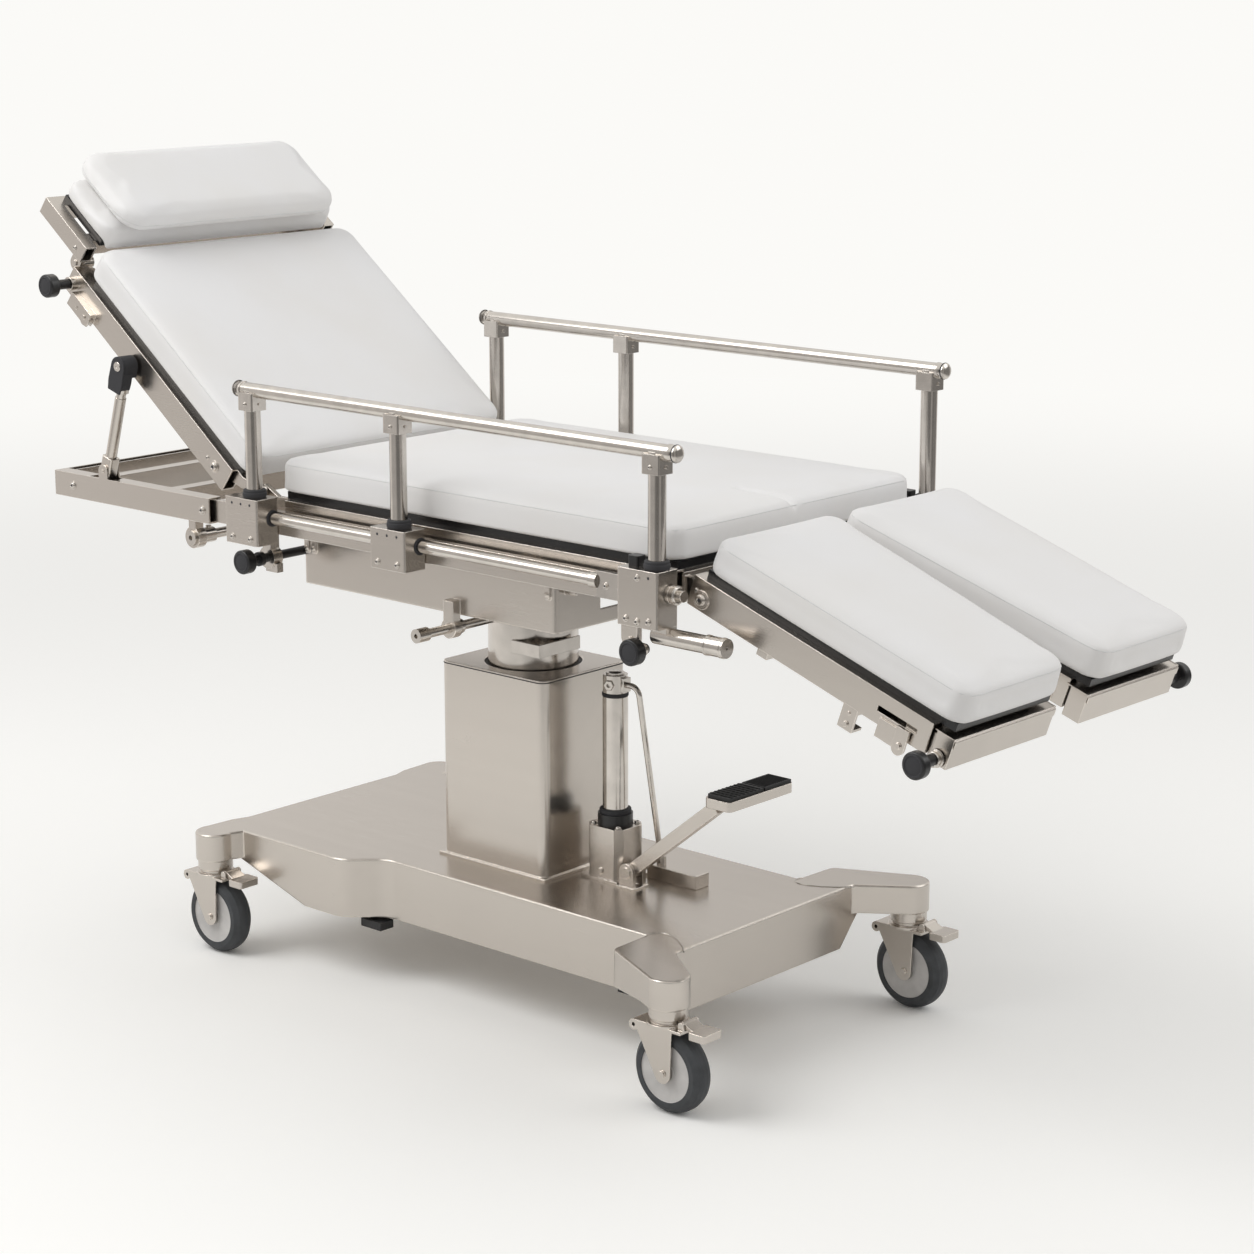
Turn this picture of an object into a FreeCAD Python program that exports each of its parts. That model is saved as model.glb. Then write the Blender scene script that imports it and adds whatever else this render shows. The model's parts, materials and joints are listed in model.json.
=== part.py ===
import FreeCAD, Part
import math
import os

V = FreeCAD.Vector

# Frame: +X towards the foot end, +Y towards the far side, +Z up, millimetres, floor at Z 0.
# Everything is drawn with the lifting column on X 0 and moved along X at the end,
# so that the origin lies under the middle of the whole table.
column_to_origin = -86.47

# Cushions
pad_top_z = 836.0
pad_thick = 55.0
pad_half_width = 275.0
pad_plan_r = 30.0
pad_edge_r = 14.0
pad_gap = 0.3
seat_x1 = -282.0
seat_x2 = 527.0
seat_slit_y = -12.0
seat_slit_wide = 5.0
seat_slit_deep = 34.0
seat_slit_long = 115.0

# Base boards under the cushions and the frame bars under the boards
board_thick = 12.0
board_inset = 17.0
bar_high = 44.0
bar_wide = 25.0
bar_wall = 2.5
bar_outer_y = 270.0
seat_bar_x1 = -262.0
seat_bar_x2 = 515.0

# Back section: angle above flat, top lower corner of its cushion, length
back_angle = 37.8
back_corner = (-314.0, pad_top_z)
back_pad_start = -8.0
back_pad_end = 470.0
back_bar_start = 30.0
back_bar_end = 498.0
back_hinge = (-336.0, pad_top_z - 64.0)
back_knuckle_r = 10.0
back_pin_r = 6.0

# Head section, drawn along the back section's line
head_bar_start = 495.0
head_bar_end = 618.0
head_bar_top = -26.0
head_bar_high = 30.0
head_half_width = 268.0
head_pad_lower_high = 24.0
head_pad_upper_high = 48.0
head_lower_half = 248.0
head_upper_half = 228.0
head_pivot = (515.0, -76.0)
head_rod_y = 234.5
head_rod_r = 8.0
head_rod_n = -87.0
socket_r = 14.0
head_rod_start = 385.0
latch_start = 412.0
latch_long = 56.0

# Leg sections: drop below flat, top corner of the cushions, length
leg_angle = 19.0
leg_corner = (586.0, pad_top_z - 4.0)
leg_pad_end = 452.0
leg_bar_start = -8.0
leg_bar_end = 412.0
leg_inner_start = 8.0
leg_inner_end = 36.0
leg_inner_bar_y = 62.0
leg_hinge = (568.0, pad_top_z - 98.0)
leg_hinge_r = 18.0
leg_pin_r = 8.0
leg_box_long = 28.0
leg_box_high = 44.0
leg_box_start = 418.0

# Side bars, clamp blocks, posts and hand rails
side_bar_y = 279.0
side_bar_thick = 12.0
block_deep = 43.0
block_long = 72.0
block_high = (71.0, 60.0, 79.0)
block_low_z = (pad_top_z - 129.0, pad_top_z - 124.0, pad_top_z - 134.0)
post_y = 313.0
post_r = 12.5
post_low_z = pad_top_z - 123.0
near_posts = (-281.0, 32.0, 526.0)
near_blocks = (-290.0, 27.5, 508.5)
far_posts = (-377.0, -87.0, 514.0)
far_blocks = (-364.0, -91.0, 497.0)
rail_r = 11.0
rail_z = pad_top_z + 105.0
near_rail_ends = (-311.0, 561.0)
far_rail_ends = (-405.0, 542.0)
far_rail_lift = 40.0
cap_proud = 1.0
cap_neck = 2.0
saddle_long = 32.0
saddle_wide = 30.0
saddle_high = 30.0
saddle_seat = 3.0
saddle_edge_r = 3.0
saddle_screw_r = 2.4
saddle_screw_high = 2.0
saddle_screw_up = 10.0
collar_r = 17.0
collar_high = 12.0
side_rod_r = 9.0
side_rod_y = 302.0
side_rod_z = pad_top_z - 89.0
side_rod_seat = 10.0
side_rod_end_gap = 62.0
foot_tube_r = 12.5
foot_tube_y = 303.0
foot_tube_long = 125.0
foot_tube_drop = 14.0

# Head end support frame
support_x1 = -785.0
support_x2 = -404.0
support_wide = 25.0
support_high = 40.0
support_top_z = pad_top_z - 78.0
support_outer_y = 300.0
support_beam_x = (-688.0, -544.0)
support_beam_wide = 24.0
cross_shaft_x = -450.0
cross_shaft_z = support_top_z - support_high - 28.0

# Prop strut between the support frame and the back section
strut_y = 287.5
strut_foot = (-661.0, support_top_z + 12.0)
strut_head = (-608.0, pad_top_z + 108.0)
strut_tube_r = 9.0
strut_rod_r = 7.8
strut_tube_up = 127.0
strut_tube_down = 43.0
strut_rod_in_tube = 124.0
strut_sleeve_long = 45.0
strut_solid_long = 14.0
strut_eye_r = 7.0
strut_pin_r = 5.3

# Knobs
knob_r = 18.5
knob_thick = 17.0
knob_outer_y = 334.0
knob_shaft_r = 7.0
head_knob_place = (481.0, head_rod_n)
leg_knob_place = (430.0, -108.0)
lock_knob_x = -293.0
lock_knob_z = pad_top_z - 158.0
clamp_knob_z = block_low_z[2] - 38.0

# Column and tilting head
cover_half_x = 109.3
cover_half_y = 94.3
cover_top_z = 513.0
cover_wall = 3.0
cover_corner_r = 14.0
column_r = 70.0
column_wall = 6.0
column_low_z = 225.0
column_top_z = pad_top_z - 196.0
strap_low_z = column_top_z - 100.0
strap_high = 20.0
column_gap = 0.1
lid_hole_r = 76.0
guide_long = 290.0
tilt_z = pad_top_z - 146.0
tilt_pin_r = 12.0
tilt_gap = 0.08

# Apron round the tilting head
apron_x1 = -284.0
apron_x2 = 249.0
apron_half_y = 215.0
apron_low_z = pad_top_z - 206.0
apron_wall = 3.0
apron_opening_half_y = 120.0
beam_high = 35.0
beam_wide = 30.0
beam_x = 230.0

# Tilt lock spindle under the apron
tilt_lock_x = 46.0
tilt_lock_z = apron_low_z - 20.0
tilt_lock_end_y = 275.0
tilt_lock_long = 165.0
tilt_cap_long = 22.0

# Base
base_top_z = 200.0
base_low_z = 105.0
base_wall = 6.0
lobe_low_z = 155.0
base_head_x = -488.0
base_foot_x = 470.0
base_head_half = 226.0
base_waist_half = 176.0
base_step_x1 = -205.0
slope_x1 = -448.0
slope_x2 = -289.0
base_step_x2 = -152.0
base_edge_r = 3.0
lobe_r = 31.0
lobe_deep_z = 144.0
lobe_slope_x1 = 392.0
lobe_slope_x2 = 480.0
lobe_corner_r = 16.0
lobe_neck_y = 206.0
lobe_neck_r = 8.0
waist_r = 45.0
web_reach = 45.0
web_x1 = 400.0
floor_pad_places = ((-172.0, 180.0), (330.0, 135.0))

# Casters
head_stem = (-470.0, 254.0)
foot_stem = (521.0, 281.0)
caster_trail = 9.0
wheel_r = 61.5
wheel_wide = 36.0
disc_r = 43.0
disc_inset = 2.0
axle_r = 5.0
fork_gap = 3.0
fork_wall = 3.0
fork_top_z = 130.0
cheek_r = 14.0
axle_head_r = 5.5
axle_head_high = 3.0
stem_r = 12.5
stem_high = 34.0
bearing_r = 28.0
brake_pivot_x = 37.0
brake_reach = 82.0
brake_pin_r = 2.5
brake_pin_lift = 7.0
brake_pad_long = 30.0
brake_pad_wide = 40.0
brake_pad_high = 11.0
brake_pad_wall = 3.0

# Pump, valve and pedal
pump_x = 172.0
pump_y = -2.0
pump_half_x = 35.0
pump_half_y = 32.0
pump_housing_high = 85.0
pump_collar_r = 27.0
pump_collar_high = 18.0
pump_cylinder_r = 19.5
pump_cylinder_top_z = 486.0
pump_cap_r = 19.0
pump_cap_high = 37.0
pipe_r = 4.5
valve_x1 = 212.0
valve_x2 = 310.0
valve_y1 = 25.0
valve_y2 = 57.0
valve_high = 22.0
pedal_pivot = (225.5, 225.0)
pedal_y = -23.5
pedal_pin_r = 6.0
pedal_ear_r = 14.0
pedal_arm_thick = 15.0
pedal_arm_high = 20.0
pedal_plate_x1 = 373.0
pedal_plate_wide = 50.0
pedal_plate_low_z = 357.0
pedal_plate_thick = 15.0
pedal_plate_y1 = -32.0
pedal_plate_long = 150.0
pedal_rubber_thick = 5.0

# Running clearances
pin_gap = 0.08
side_gap = 2.0
seat_gap = 0.3

bar_top = -(pad_thick + board_thick)
bar_low = bar_top - bar_high
seat_bar_top_z = pad_top_z + bar_top
seat_bar_low_z = seat_bar_top_z - bar_high
bar_inner_y = bar_outer_y - bar_wide
block_inner_y = side_bar_y + side_bar_thick
block_outer_y = block_inner_y + block_deep
side_bar_low_z = support_top_z - support_high + bar_wall
side_bar_top_z = support_top_z - bar_wall


def box(x1, x2, y1, y2, z1, z2):
    """A box between two limits on each axis."""
    return Part.makeBox(x2 - x1, y2 - y1, z2 - z1, V(x1, y1, z1))


def rod(start, direction, radius, length):
    return Part.makeCylinder(radius, length, V(*start), V(*direction))


def ring(start, direction, outer_r, inner_r, length):
    return rod(start, direction, outer_r, length).cut(rod(start, direction, inner_r, length))


def joined(shapes):
    """One shape from several that touch or overlap."""
    result = shapes[0].multiFuse(shapes[1:]) if len(shapes) > 1 else shapes[0]
    return result.removeSplitter()


def flat_plate(points, thick_from, thick_to, plane):
    """A polygon in the XZ or XY plane, extruded along the axis that is left."""
    if plane == "xz":
        corners = [V(x, thick_from, z) for x, z in points]
        sweep = V(0, thick_to - thick_from, 0)
    else:
        corners = [V(x, y, thick_from) for x, y in points]
        sweep = V(0, 0, thick_to - thick_from)
    wire = Part.makePolygon(corners + corners[:1])
    return Part.Face(wire).extrude(sweep)


def rounded_plate(corners, low, high):
    """A polygon in the XY plane, its corners given as X, Y and radius, extruded upwards."""
    edges, last = [], None
    count = len(corners)
    for i, (x, y, r) in enumerate(corners):
        here = V(x, y, low)
        if r == 0:
            start = end = here
        else:
            before, after = corners[i - 1], corners[(i + 1) % count]
            to_last = (V(before[0], before[1], low) - here).normalize()
            to_next = (V(after[0], after[1], low) - here).normalize()
            half = to_last.getAngle(to_next) / 2
            start, end = here + to_last * (r / math.tan(half)), here + to_next * (r / math.tan(half))
            middle = here + (to_last + to_next).normalize() * (r / math.sin(half) - r)
        if last is not None:
            edges.append(Part.LineSegment(last, start).toShape())
        else:
            first = start
        if r > 0:
            edges.append(Part.Arc(start, middle, end).toShape())
        last = end
    edges.append(Part.LineSegment(last, first).toShape())
    return Part.Face(Part.Wire(edges)).extrude(V(0, 0, high - low))


def mirrored(shape):
    """The same piece on the other side of the table."""
    return shape.mirror(V(0, 0, 0), V(0, 1, 0))


def edges_along(shape, axis):
    """The straight edges that run along one axis."""
    found = []
    for edge in shape.Edges:
        if edge.Curve.TypeId == "Part::GeomLine":
            along = edge.Vertexes[0].Point - edge.Vertexes[1].Point
            if abs(abs(along.normalize() * axis) - 1.0) < 1e-6:
                found.append(edge)
    return found


def edges_at_height(shape, z):
    return [e for e in shape.Edges if abs(e.BoundBox.ZMin - z) < 1e-4 and abs(e.BoundBox.ZMax - z) < 1e-4]


def cushion(block, plan_r, edge_r):
    """Rounds a cushion's corners in plan, then its top and bottom rims."""
    block = block.makeFillet(plan_r, edges_along(block, V(0, 0, 1)))
    top, low = block.BoundBox.ZMax, block.BoundBox.ZMin
    block = block.makeFillet(edge_r, edges_at_height(block, top))
    return block.makeFillet(edge_r * 0.5, edges_at_height(block, low))


def square_tube(x1, x2, y1, y2, z1, z2, wall):
    """A rectangular tube along X with open ends."""
    inner = box(x1 - 1, x2 + 1, y1 + wall, y2 - wall, z1 + wall, z2 - wall)
    return box(x1, x2, y1, y2, z1, z2).cut(inner)


def cross_tube(x1, x2, half_y, z1, z2, wall):
    """A rectangular tube along Y, its ends closed by what it is welded to."""
    inner = box(x1 + wall, x2 - wall, -half_y, half_y, z1 + wall, z2 - wall)
    return box(x1, x2, -half_y, half_y, z1, z2).cut(inner)


def tilted(shape, angle, corner):
    """Swings a section that was drawn flat about its corner and puts it in place."""
    placed = shape.copy()
    placed.rotate(V(0, 0, 0), V(0, 1, 0), angle)
    placed.translate(V(corner[0], 0, corner[1]))
    return placed


def section_point(along, up, angle, corner, direction):
    """Where a point of a tilted section lies in X and Z."""
    t = math.radians(angle)
    x = direction * along
    return (corner[0] + x * math.cos(t) + up * math.sin(t),
            corner[1] - x * math.sin(t) + up * math.cos(t))


def section_coords(point, angle, corner, direction):
    """A point in X and Z as its place along and up from a tilted section's corner."""
    t = math.radians(angle)
    dx, dz = point[0] - corner[0], point[1] - corner[1]
    return (direction * (dx * math.cos(t) - dz * math.sin(t)),
            dx * math.sin(t) + dz * math.cos(t))


def back_place(shape):
    return tilted(shape, back_angle, back_corner)


def leg_place(shape):
    return tilted(shape, leg_angle, leg_corner)


def screw_head(x, y, z, radius, high, outward):
    """A domed head on a face that looks along Y."""
    return rod((x, y, z), (0, outward, 0), radius, high)


def lobe(corners, stem, low):
    """A foot of the base: a flat arm with a round end over a caster stem."""
    arm = rounded_plate(corners, low, base_top_z)
    end = rod((stem[0], stem[1], lobe_low_z), (0, 0, 1), lobe_r, base_top_z - lobe_low_z)
    slope = [(lobe_slope_x1, low), (lobe_slope_x2, lobe_low_z), (stem[0] + 50, lobe_low_z), (stem[0] + 50, low - 1),
             (lobe_slope_x1, low - 1)]
    if low < lobe_low_z:
        arm = arm.cut(flat_plate(slope, 0, stem[1] + 50, "xz"))
    return joined([arm, end])


def base_plan(inset):
    """The base's outline without its feet, drawn inwards by an inset."""
    head, foot = base_head_x + inset, base_foot_x - inset
    wide, waist = base_head_half - inset, base_waist_half - inset
    half = [(head, wide - 40, 0), (head + 30, wide, 0), (base_step_x1, wide, waist_r), (base_step_x2, waist, waist_r),
            (foot, waist, 0)]
    return half + [(x, -y, r) for x, y, r in reversed(half)]


def base_cover():
    """The pressed cover with four feet, open below, and a socket over each caster."""
    slab = rounded_plate(base_plan(0), base_low_z, base_top_z)
    slope = [(base_head_x - 1, base_low_z - 1), (base_head_x - 1, lobe_low_z), (slope_x1, lobe_low_z),
             (slope_x2, base_low_z), (slope_x2, base_low_z - 1)]
    slab = slab.cut(flat_plate(slope, -base_head_half - 1, base_head_half + 1, "xz"))
    sx, sy = foot_stem
    foot_arm = [(lobe_slope_x1 - 4, base_waist_half - 20, 0), (lobe_slope_x1, 254, lobe_corner_r),
                (sx - 11, sy + 28.5, 0), (sx + 17.8, sy - 24.8, 0), (base_foot_x, lobe_neck_y, lobe_neck_r),
                (base_foot_x, base_waist_half - 20, 0)]
    hx, hy = head_stem
    head_arm = [(-420, base_head_half - 30, 0), (-432, base_head_half, 0), (hx + 17, hy + 25, 0), (hx - 30, hy - 6, 0),
                (hx - 27, hy - 60, 0), (base_head_x, base_head_half - 60, 0)]
    foot_lobe = lobe(foot_arm, foot_stem, lobe_deep_z)
    head_lobe = lobe(head_arm, head_stem, lobe_low_z)
    web_y = base_waist_half
    web = [(web_y, base_low_z), (web_y + web_reach, lobe_low_z), (web_y, lobe_low_z)]
    face = Part.Face(Part.makePolygon([V(web_x1, y, z) for y, z in web + web[:1]]))
    web = face.extrude(V(base_foot_x - web_x1, 0, 0))
    far = [foot_lobe, head_lobe, web]
    outer = joined([slab] + far + [mirrored(piece) for piece in far])
    pocket = rounded_plate(base_plan(base_wall), base_low_z - 1, base_top_z - base_wall)
    pocket_keep = [(base_head_x - 1, base_low_z - 1), (base_head_x - 1, base_top_z), (slope_x1 + 6, base_top_z),
                   (slope_x2 + 6, base_low_z + base_wall), (slope_x2 + 6, base_low_z - 1)]
    pocket = pocket.cut(flat_plate(pocket_keep, -base_head_half, base_head_half, "xz"))
    outer = outer.cut(pocket)
    for stem in (head_stem, foot_stem):
        for side in (1, -1):
            place = (stem[0], side * stem[1], lobe_low_z)
            outer = outer.cut(rod(place, (0, 0, 1), stem_r + pin_gap, stem_high + 1))
    return outer.makeFillet(base_edge_r, top_rim(outer))


def top_rim(shape):
    """The outer edges of the base's top face."""
    face = max((f for f in shape.Faces if abs(f.BoundBox.ZMin - base_top_z) < 1e-4), key=lambda f: f.Area)
    return face.OuterWire.Edges


def floor_pads():
    """Rubber blocks under the base, raised off the floor."""
    pads = [box(x - 22, x + 22, y - 14, y + 14, base_low_z - 19, base_low_z - 6)
            for x, half_y in floor_pad_places for y in (-half_y, half_y)]
    return Part.makeCompound(pads)


def chassis_plate():
    """The flat plate that closes the base from below, a little inside its edge."""
    head = slope_x2 + 20
    wide, waist = base_head_half - 20, base_waist_half - 20
    half = [(head, wide), (base_step_x1 - 8, wide), (base_step_x2 - 8, waist), (base_foot_x - 20, waist)]
    points = half + [(x, -y) for x, y in reversed(half)]
    plate = flat_plate(points, base_low_z - 6, base_low_z, "xy")
    ribs = [box(x - 4, x + 4, -waist + 20, waist - 20, base_low_z, base_top_z - base_wall) for x in (-110, 110)]
    return joined([plate] + ribs)


def column_cover():
    """The square cover of the column with its top plate and the guide tube inside."""
    outer = box(-cover_half_x, cover_half_x, -cover_half_y, cover_half_y, base_top_z, cover_top_z)
    outer = outer.makeFillet(cover_corner_r, edges_along(outer, V(0, 0, 1)))
    hx, hy = cover_half_x - cover_wall, cover_half_y - cover_wall
    inner = box(-hx, hx, -hy, hy, base_top_z, cover_top_z - cover_wall)
    inner = inner.makeFillet(cover_corner_r - cover_wall, edges_along(inner, V(0, 0, 1)))
    hole = rod((0, 0, base_top_z), (0, 0, 1), lid_hole_r, cover_top_z - base_top_z + 1)
    outer = outer.cut(inner).cut(hole)
    guide = ring((0, 0, base_top_z), (0, 0, 1), column_r + 12, column_r + column_gap, guide_long)
    skirt = box(-hx - 7, hx + 7, -hy - 7, hy + 7, base_top_z, base_top_z + 4)
    skirt = skirt.cut(rod((0, 0, base_top_z - 1), (0, 0, 1), column_r + 5, 6))
    return joined([outer, guide, skirt])


def column_seal():
    """The black wiper ring in the gap round the lifting column."""
    return ring((0, 0, cover_top_z - 8), (0, 0, 1), lid_hole_r, column_r + column_gap, 6)


def inner_column():
    """The lifting tube with its top flange, two ears for the tilt pin and a gauge strap."""
    tube = ring((0, 0, column_low_z), (0, 0, 1), column_r, column_r - column_wall, column_top_z - column_low_z)
    flange = rod((0, 0, column_top_z - 6), (0, 0, 1), column_r, 12)
    pieces = [tube, flange]
    ear_y, ear_thick, ear_half = 42.0, 12.0, 22.0
    for side in (1, -1):
        y1, y2 = sorted((side * ear_y, side * (ear_y + ear_thick)))
        ear = box(-ear_half, ear_half, y1, y2, column_top_z, tilt_z)
        top = rod((0, y1, tilt_z), (0, 1, 0), ear_half, ear_thick)
        pieces += [ear, top]
    s1, s2 = strap_low_z, strap_low_z + strap_high
    strap = box(column_r - 6, column_r + 8, -66, 22, s1, s2)
    strap = strap.cut(box(column_r - 10, column_r + 4, -62, 30, s1 - 10, s2 + 10))
    foot = box(20, column_r + 8, -70, -66, s1, s2).cut(rod((0, 0, s1 - 10), (0, 0, 1), column_r - 1, 40))
    pad = box(column_r - 4, column_r + 5, -8, 8, s1 + 3, s2 - 3)
    pieces += [strap, foot, pad]
    body = joined(pieces)
    bore = rod((0, -100, tilt_z), (0, 1, 0), tilt_pin_r + tilt_gap, 200)
    return body.cut(bore)


def tilt_cross():
    """The cross block whose two pins let the table top pitch and roll."""
    block = box(-40, 40, -36, 36, tilt_z - 18, tilt_z + 18)
    block = block.makeFillet(6, edges_along(block, V(0, 0, 1)))
    pitch_pin = rod((0, -56, tilt_z), (0, 1, 0), tilt_pin_r, 112)
    roll_pin = rod((-72, 0, tilt_z), (1, 0, 0), tilt_pin_r, 144)
    return joined([block, pitch_pin, roll_pin])


def apron():
    """The sheet skirt round the tilting head, open above and below and at its foot end."""
    top = seat_bar_top_z - beam_high - 5
    outer = box(apron_x1, apron_x2, -apron_half_y, apron_half_y, apron_low_z, top)
    outer = outer.makeFillet(8, edges_along(outer, V(0, 0, 1)))
    w = apron_wall
    inner = box(apron_x1 + w, apron_x2 - w, -apron_half_y + w, apron_half_y - w, apron_low_z - 1, top + 1)
    inner = inner.makeFillet(5, edges_along(inner, V(0, 0, 1)))
    window = box(apron_x2 - 10, apron_x2 + 5, -apron_opening_half_y, apron_opening_half_y, apron_low_z + 22, top + 1)
    skirt = outer.cut(inner).cut(window)
    pieces = [skirt]
    for side in (1, -1):
        y1, y2 = sorted((side * apron_half_y, side * (apron_half_y + 4)))
        for x in (apron_x1 + 12, apron_x1 + 27, apron_x2 - 14):
            tab = box(x - 5, x + 5, y1, y2, top - 45, top)
            end = rod((x, y1, top - 45), (0, 1, 0), 5, 4)
            head = rod((x, side * (apron_half_y + 4), top - 42), (0, side, 0), 3.2, 2)
            pieces += [tab, end, head]
    latch_z = top - 22
    pieces.append(box(apron_x2, apron_x2 + 22, -apron_half_y + 18, -apron_half_y + 22, latch_z - 20, latch_z + 20))
    pieces.append(rod((apron_x2 + 12, -apron_half_y + 22, latch_z - 8), (0, 1, 0), 6, 14))
    hanger_x = tilt_lock_x
    hanger = box(hanger_x - 10, hanger_x + 10, -apron_half_y - 15, -apron_half_y, tilt_lock_z, apron_low_z + 22)
    eye = rod((hanger_x, -apron_half_y - 15, tilt_lock_z), (0, 1, 0), 15, 15)
    body = joined(pieces + [hanger, eye])
    return body.cut(rod((hanger_x, -apron_half_y - 20, tilt_lock_z), (0, 1, 0), knob_shaft_r + pin_gap, 30))


def tilt_lock_shaft():
    """The cross spindle under the apron that locks the tilt, with its end cap."""
    end = -tilt_lock_end_y
    shaft = rod((tilt_lock_x, end, tilt_lock_z), (0, 1, 0), knob_shaft_r, tilt_lock_long)
    cap = rod((tilt_lock_x, end, tilt_lock_z), (0, -1, 0), 10.5, tilt_cap_long)
    socket = rod((tilt_lock_x, end - tilt_cap_long - 1, tilt_lock_z), (0, 1, 0), 3.5, 12)
    collar_in = rod((tilt_lock_x, -apron_half_y + 0.5, tilt_lock_z), (0, 1, 0), 11, 10)
    return joined([shaft, cap, collar_in]).cut(socket)


def seat_frame():
    """Side bars, cross beams, the plate with its tilt ears, the rail spacers and the hinge plates."""
    z1, z2 = seat_bar_low_z, seat_bar_top_z
    pieces = []
    for side in (1, -1):
        y1, y2 = sorted((side * bar_inner_y, side * bar_outer_y))
        pieces.append(square_tube(seat_bar_x1, seat_bar_x2, y1, y2, z1, z2, bar_wall))
    for x in (-beam_x, beam_x, seat_bar_x2 - beam_wide / 2):
        half = beam_wide / 2
        pieces.append(cross_tube(x - half, x + half, bar_inner_y, z2 - beam_high - 5, z2 - 5, bar_wall))
    inner = beam_x - beam_wide / 2
    plate_z = z2 - 24
    pieces.append(box(-inner, inner, -70, 70, plate_z, plate_z + 12))
    for side in (1, -1):
        x1, x2 = sorted((side * 58, side * 70))
        pieces.append(box(x1, x2, -20, 20, tilt_z, plate_z))
        pieces.append(rod((x1, 0, tilt_z), (1, 0, 0), 20, 12))
    welded = []
    for side in (1, -1):
        pieces += spacers(side)
        pieces += leg_hinge_plates(side)
        pieces.append(foot_bracket(side))
        welded.append(side_bar(side))
        welded += back_hinge_plate(side)
    body = joined(pieces)
    body = body.cut(rod((-100, 0, tilt_z), (1, 0, 0), tilt_pin_r + tilt_gap, 200))
    return Part.makeCompound([body] + welded)


def side_bar(side):
    """The flat bar that carries the clamp blocks, from the support frame to the foot end."""
    y1, y2 = sorted((side * side_bar_y, side * block_inner_y))
    reach = 60.0
    return box(support_x2 - reach, seat_bar_x2, y1, y2, side_bar_low_z, side_bar_top_z)


def spacers(side):
    """The blocks that hold the side bar off the frame."""
    y1, y2 = sorted((side * bar_outer_y, side * side_bar_y))
    middle = (side_bar_low_z + side_bar_top_z) / 2
    return [box(x - 20, x + 20, y1, y2, middle - 11, middle + 11) for x in (seat_bar_x1 + 22, 0, 240, 490)]


def back_hinge_plate(side):
    """The plate on each frame bar that carries the back section's hinge pin, welded to the first beam."""
    y1, y2 = sorted((side * (bar_inner_y - 8), side * bar_inner_y))
    px, pz = back_hinge
    r = back_knuckle_r
    end = -beam_x - beam_wide / 2
    points = [(px - 46, seat_bar_low_z + 6), (px - 48, pz - 14), (px - 8, pz + r - 2), (px, pz + r),
              (px + 30, seat_bar_top_z - 3), (end, seat_bar_top_z - 3), (end, seat_bar_low_z + 6)]
    plate = flat_plate(points, y1, y2, "xz")
    pin = rod((px, side * bar_inner_y, pz), (0, side, 0), back_pin_r, 19)
    return [plate, pin]


def leg_hinge_plates(side):
    """The ears at the foot end on which each leg section turns, with their pins."""
    px, pz = leg_hinge
    pieces = []
    ear = 12.0
    outer_ear = bar_inner_y - side_gap - ear
    inner_ear = leg_inner_bar_y + side_gap
    for y in (outer_ear, inner_ear):
        y1, y2 = sorted((side * y, side * (y + ear)))
        low, high = seat_bar_low_z + 4, seat_bar_top_z - 9
        points = [(seat_bar_x2 - 20, low), (seat_bar_x2 - 20, high), (px, pz + leg_hinge_r), (px, pz - leg_hinge_r)]
        pieces.append(flat_plate(points, y1, y2, "xz"))
        pieces.append(rod((px, y1, pz), (0, 1, 0), leg_hinge_r, ear))
    pieces.append(rod((px, side * outer_ear, pz), (0, side, 0), leg_pin_r, ear + side_gap + bar_wide - 2))
    pieces.append(rod((px, side * (leg_inner_bar_y - 20), pz), (0, side, 0), leg_pin_r, 20 + side_gap + ear))
    return pieces


def foot_bracket(side):
    """The rounded plate that hangs from the side bar near the last clamp block."""
    y1, y2 = sorted((side * (bar_outer_y - 12), side * (bar_outer_y - 7)))
    x, low = 434.0, seat_bar_low_z - 61.0
    plate = box(x - 17, x + 17, y1, y2, low, seat_bar_low_z)
    return joined([plate, rod((x, y1, low), (0, 1, 0), 17, 5), rod((x, y1 - 3, low - 3), (0, 1, 0), 4.5, 11)])


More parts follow.
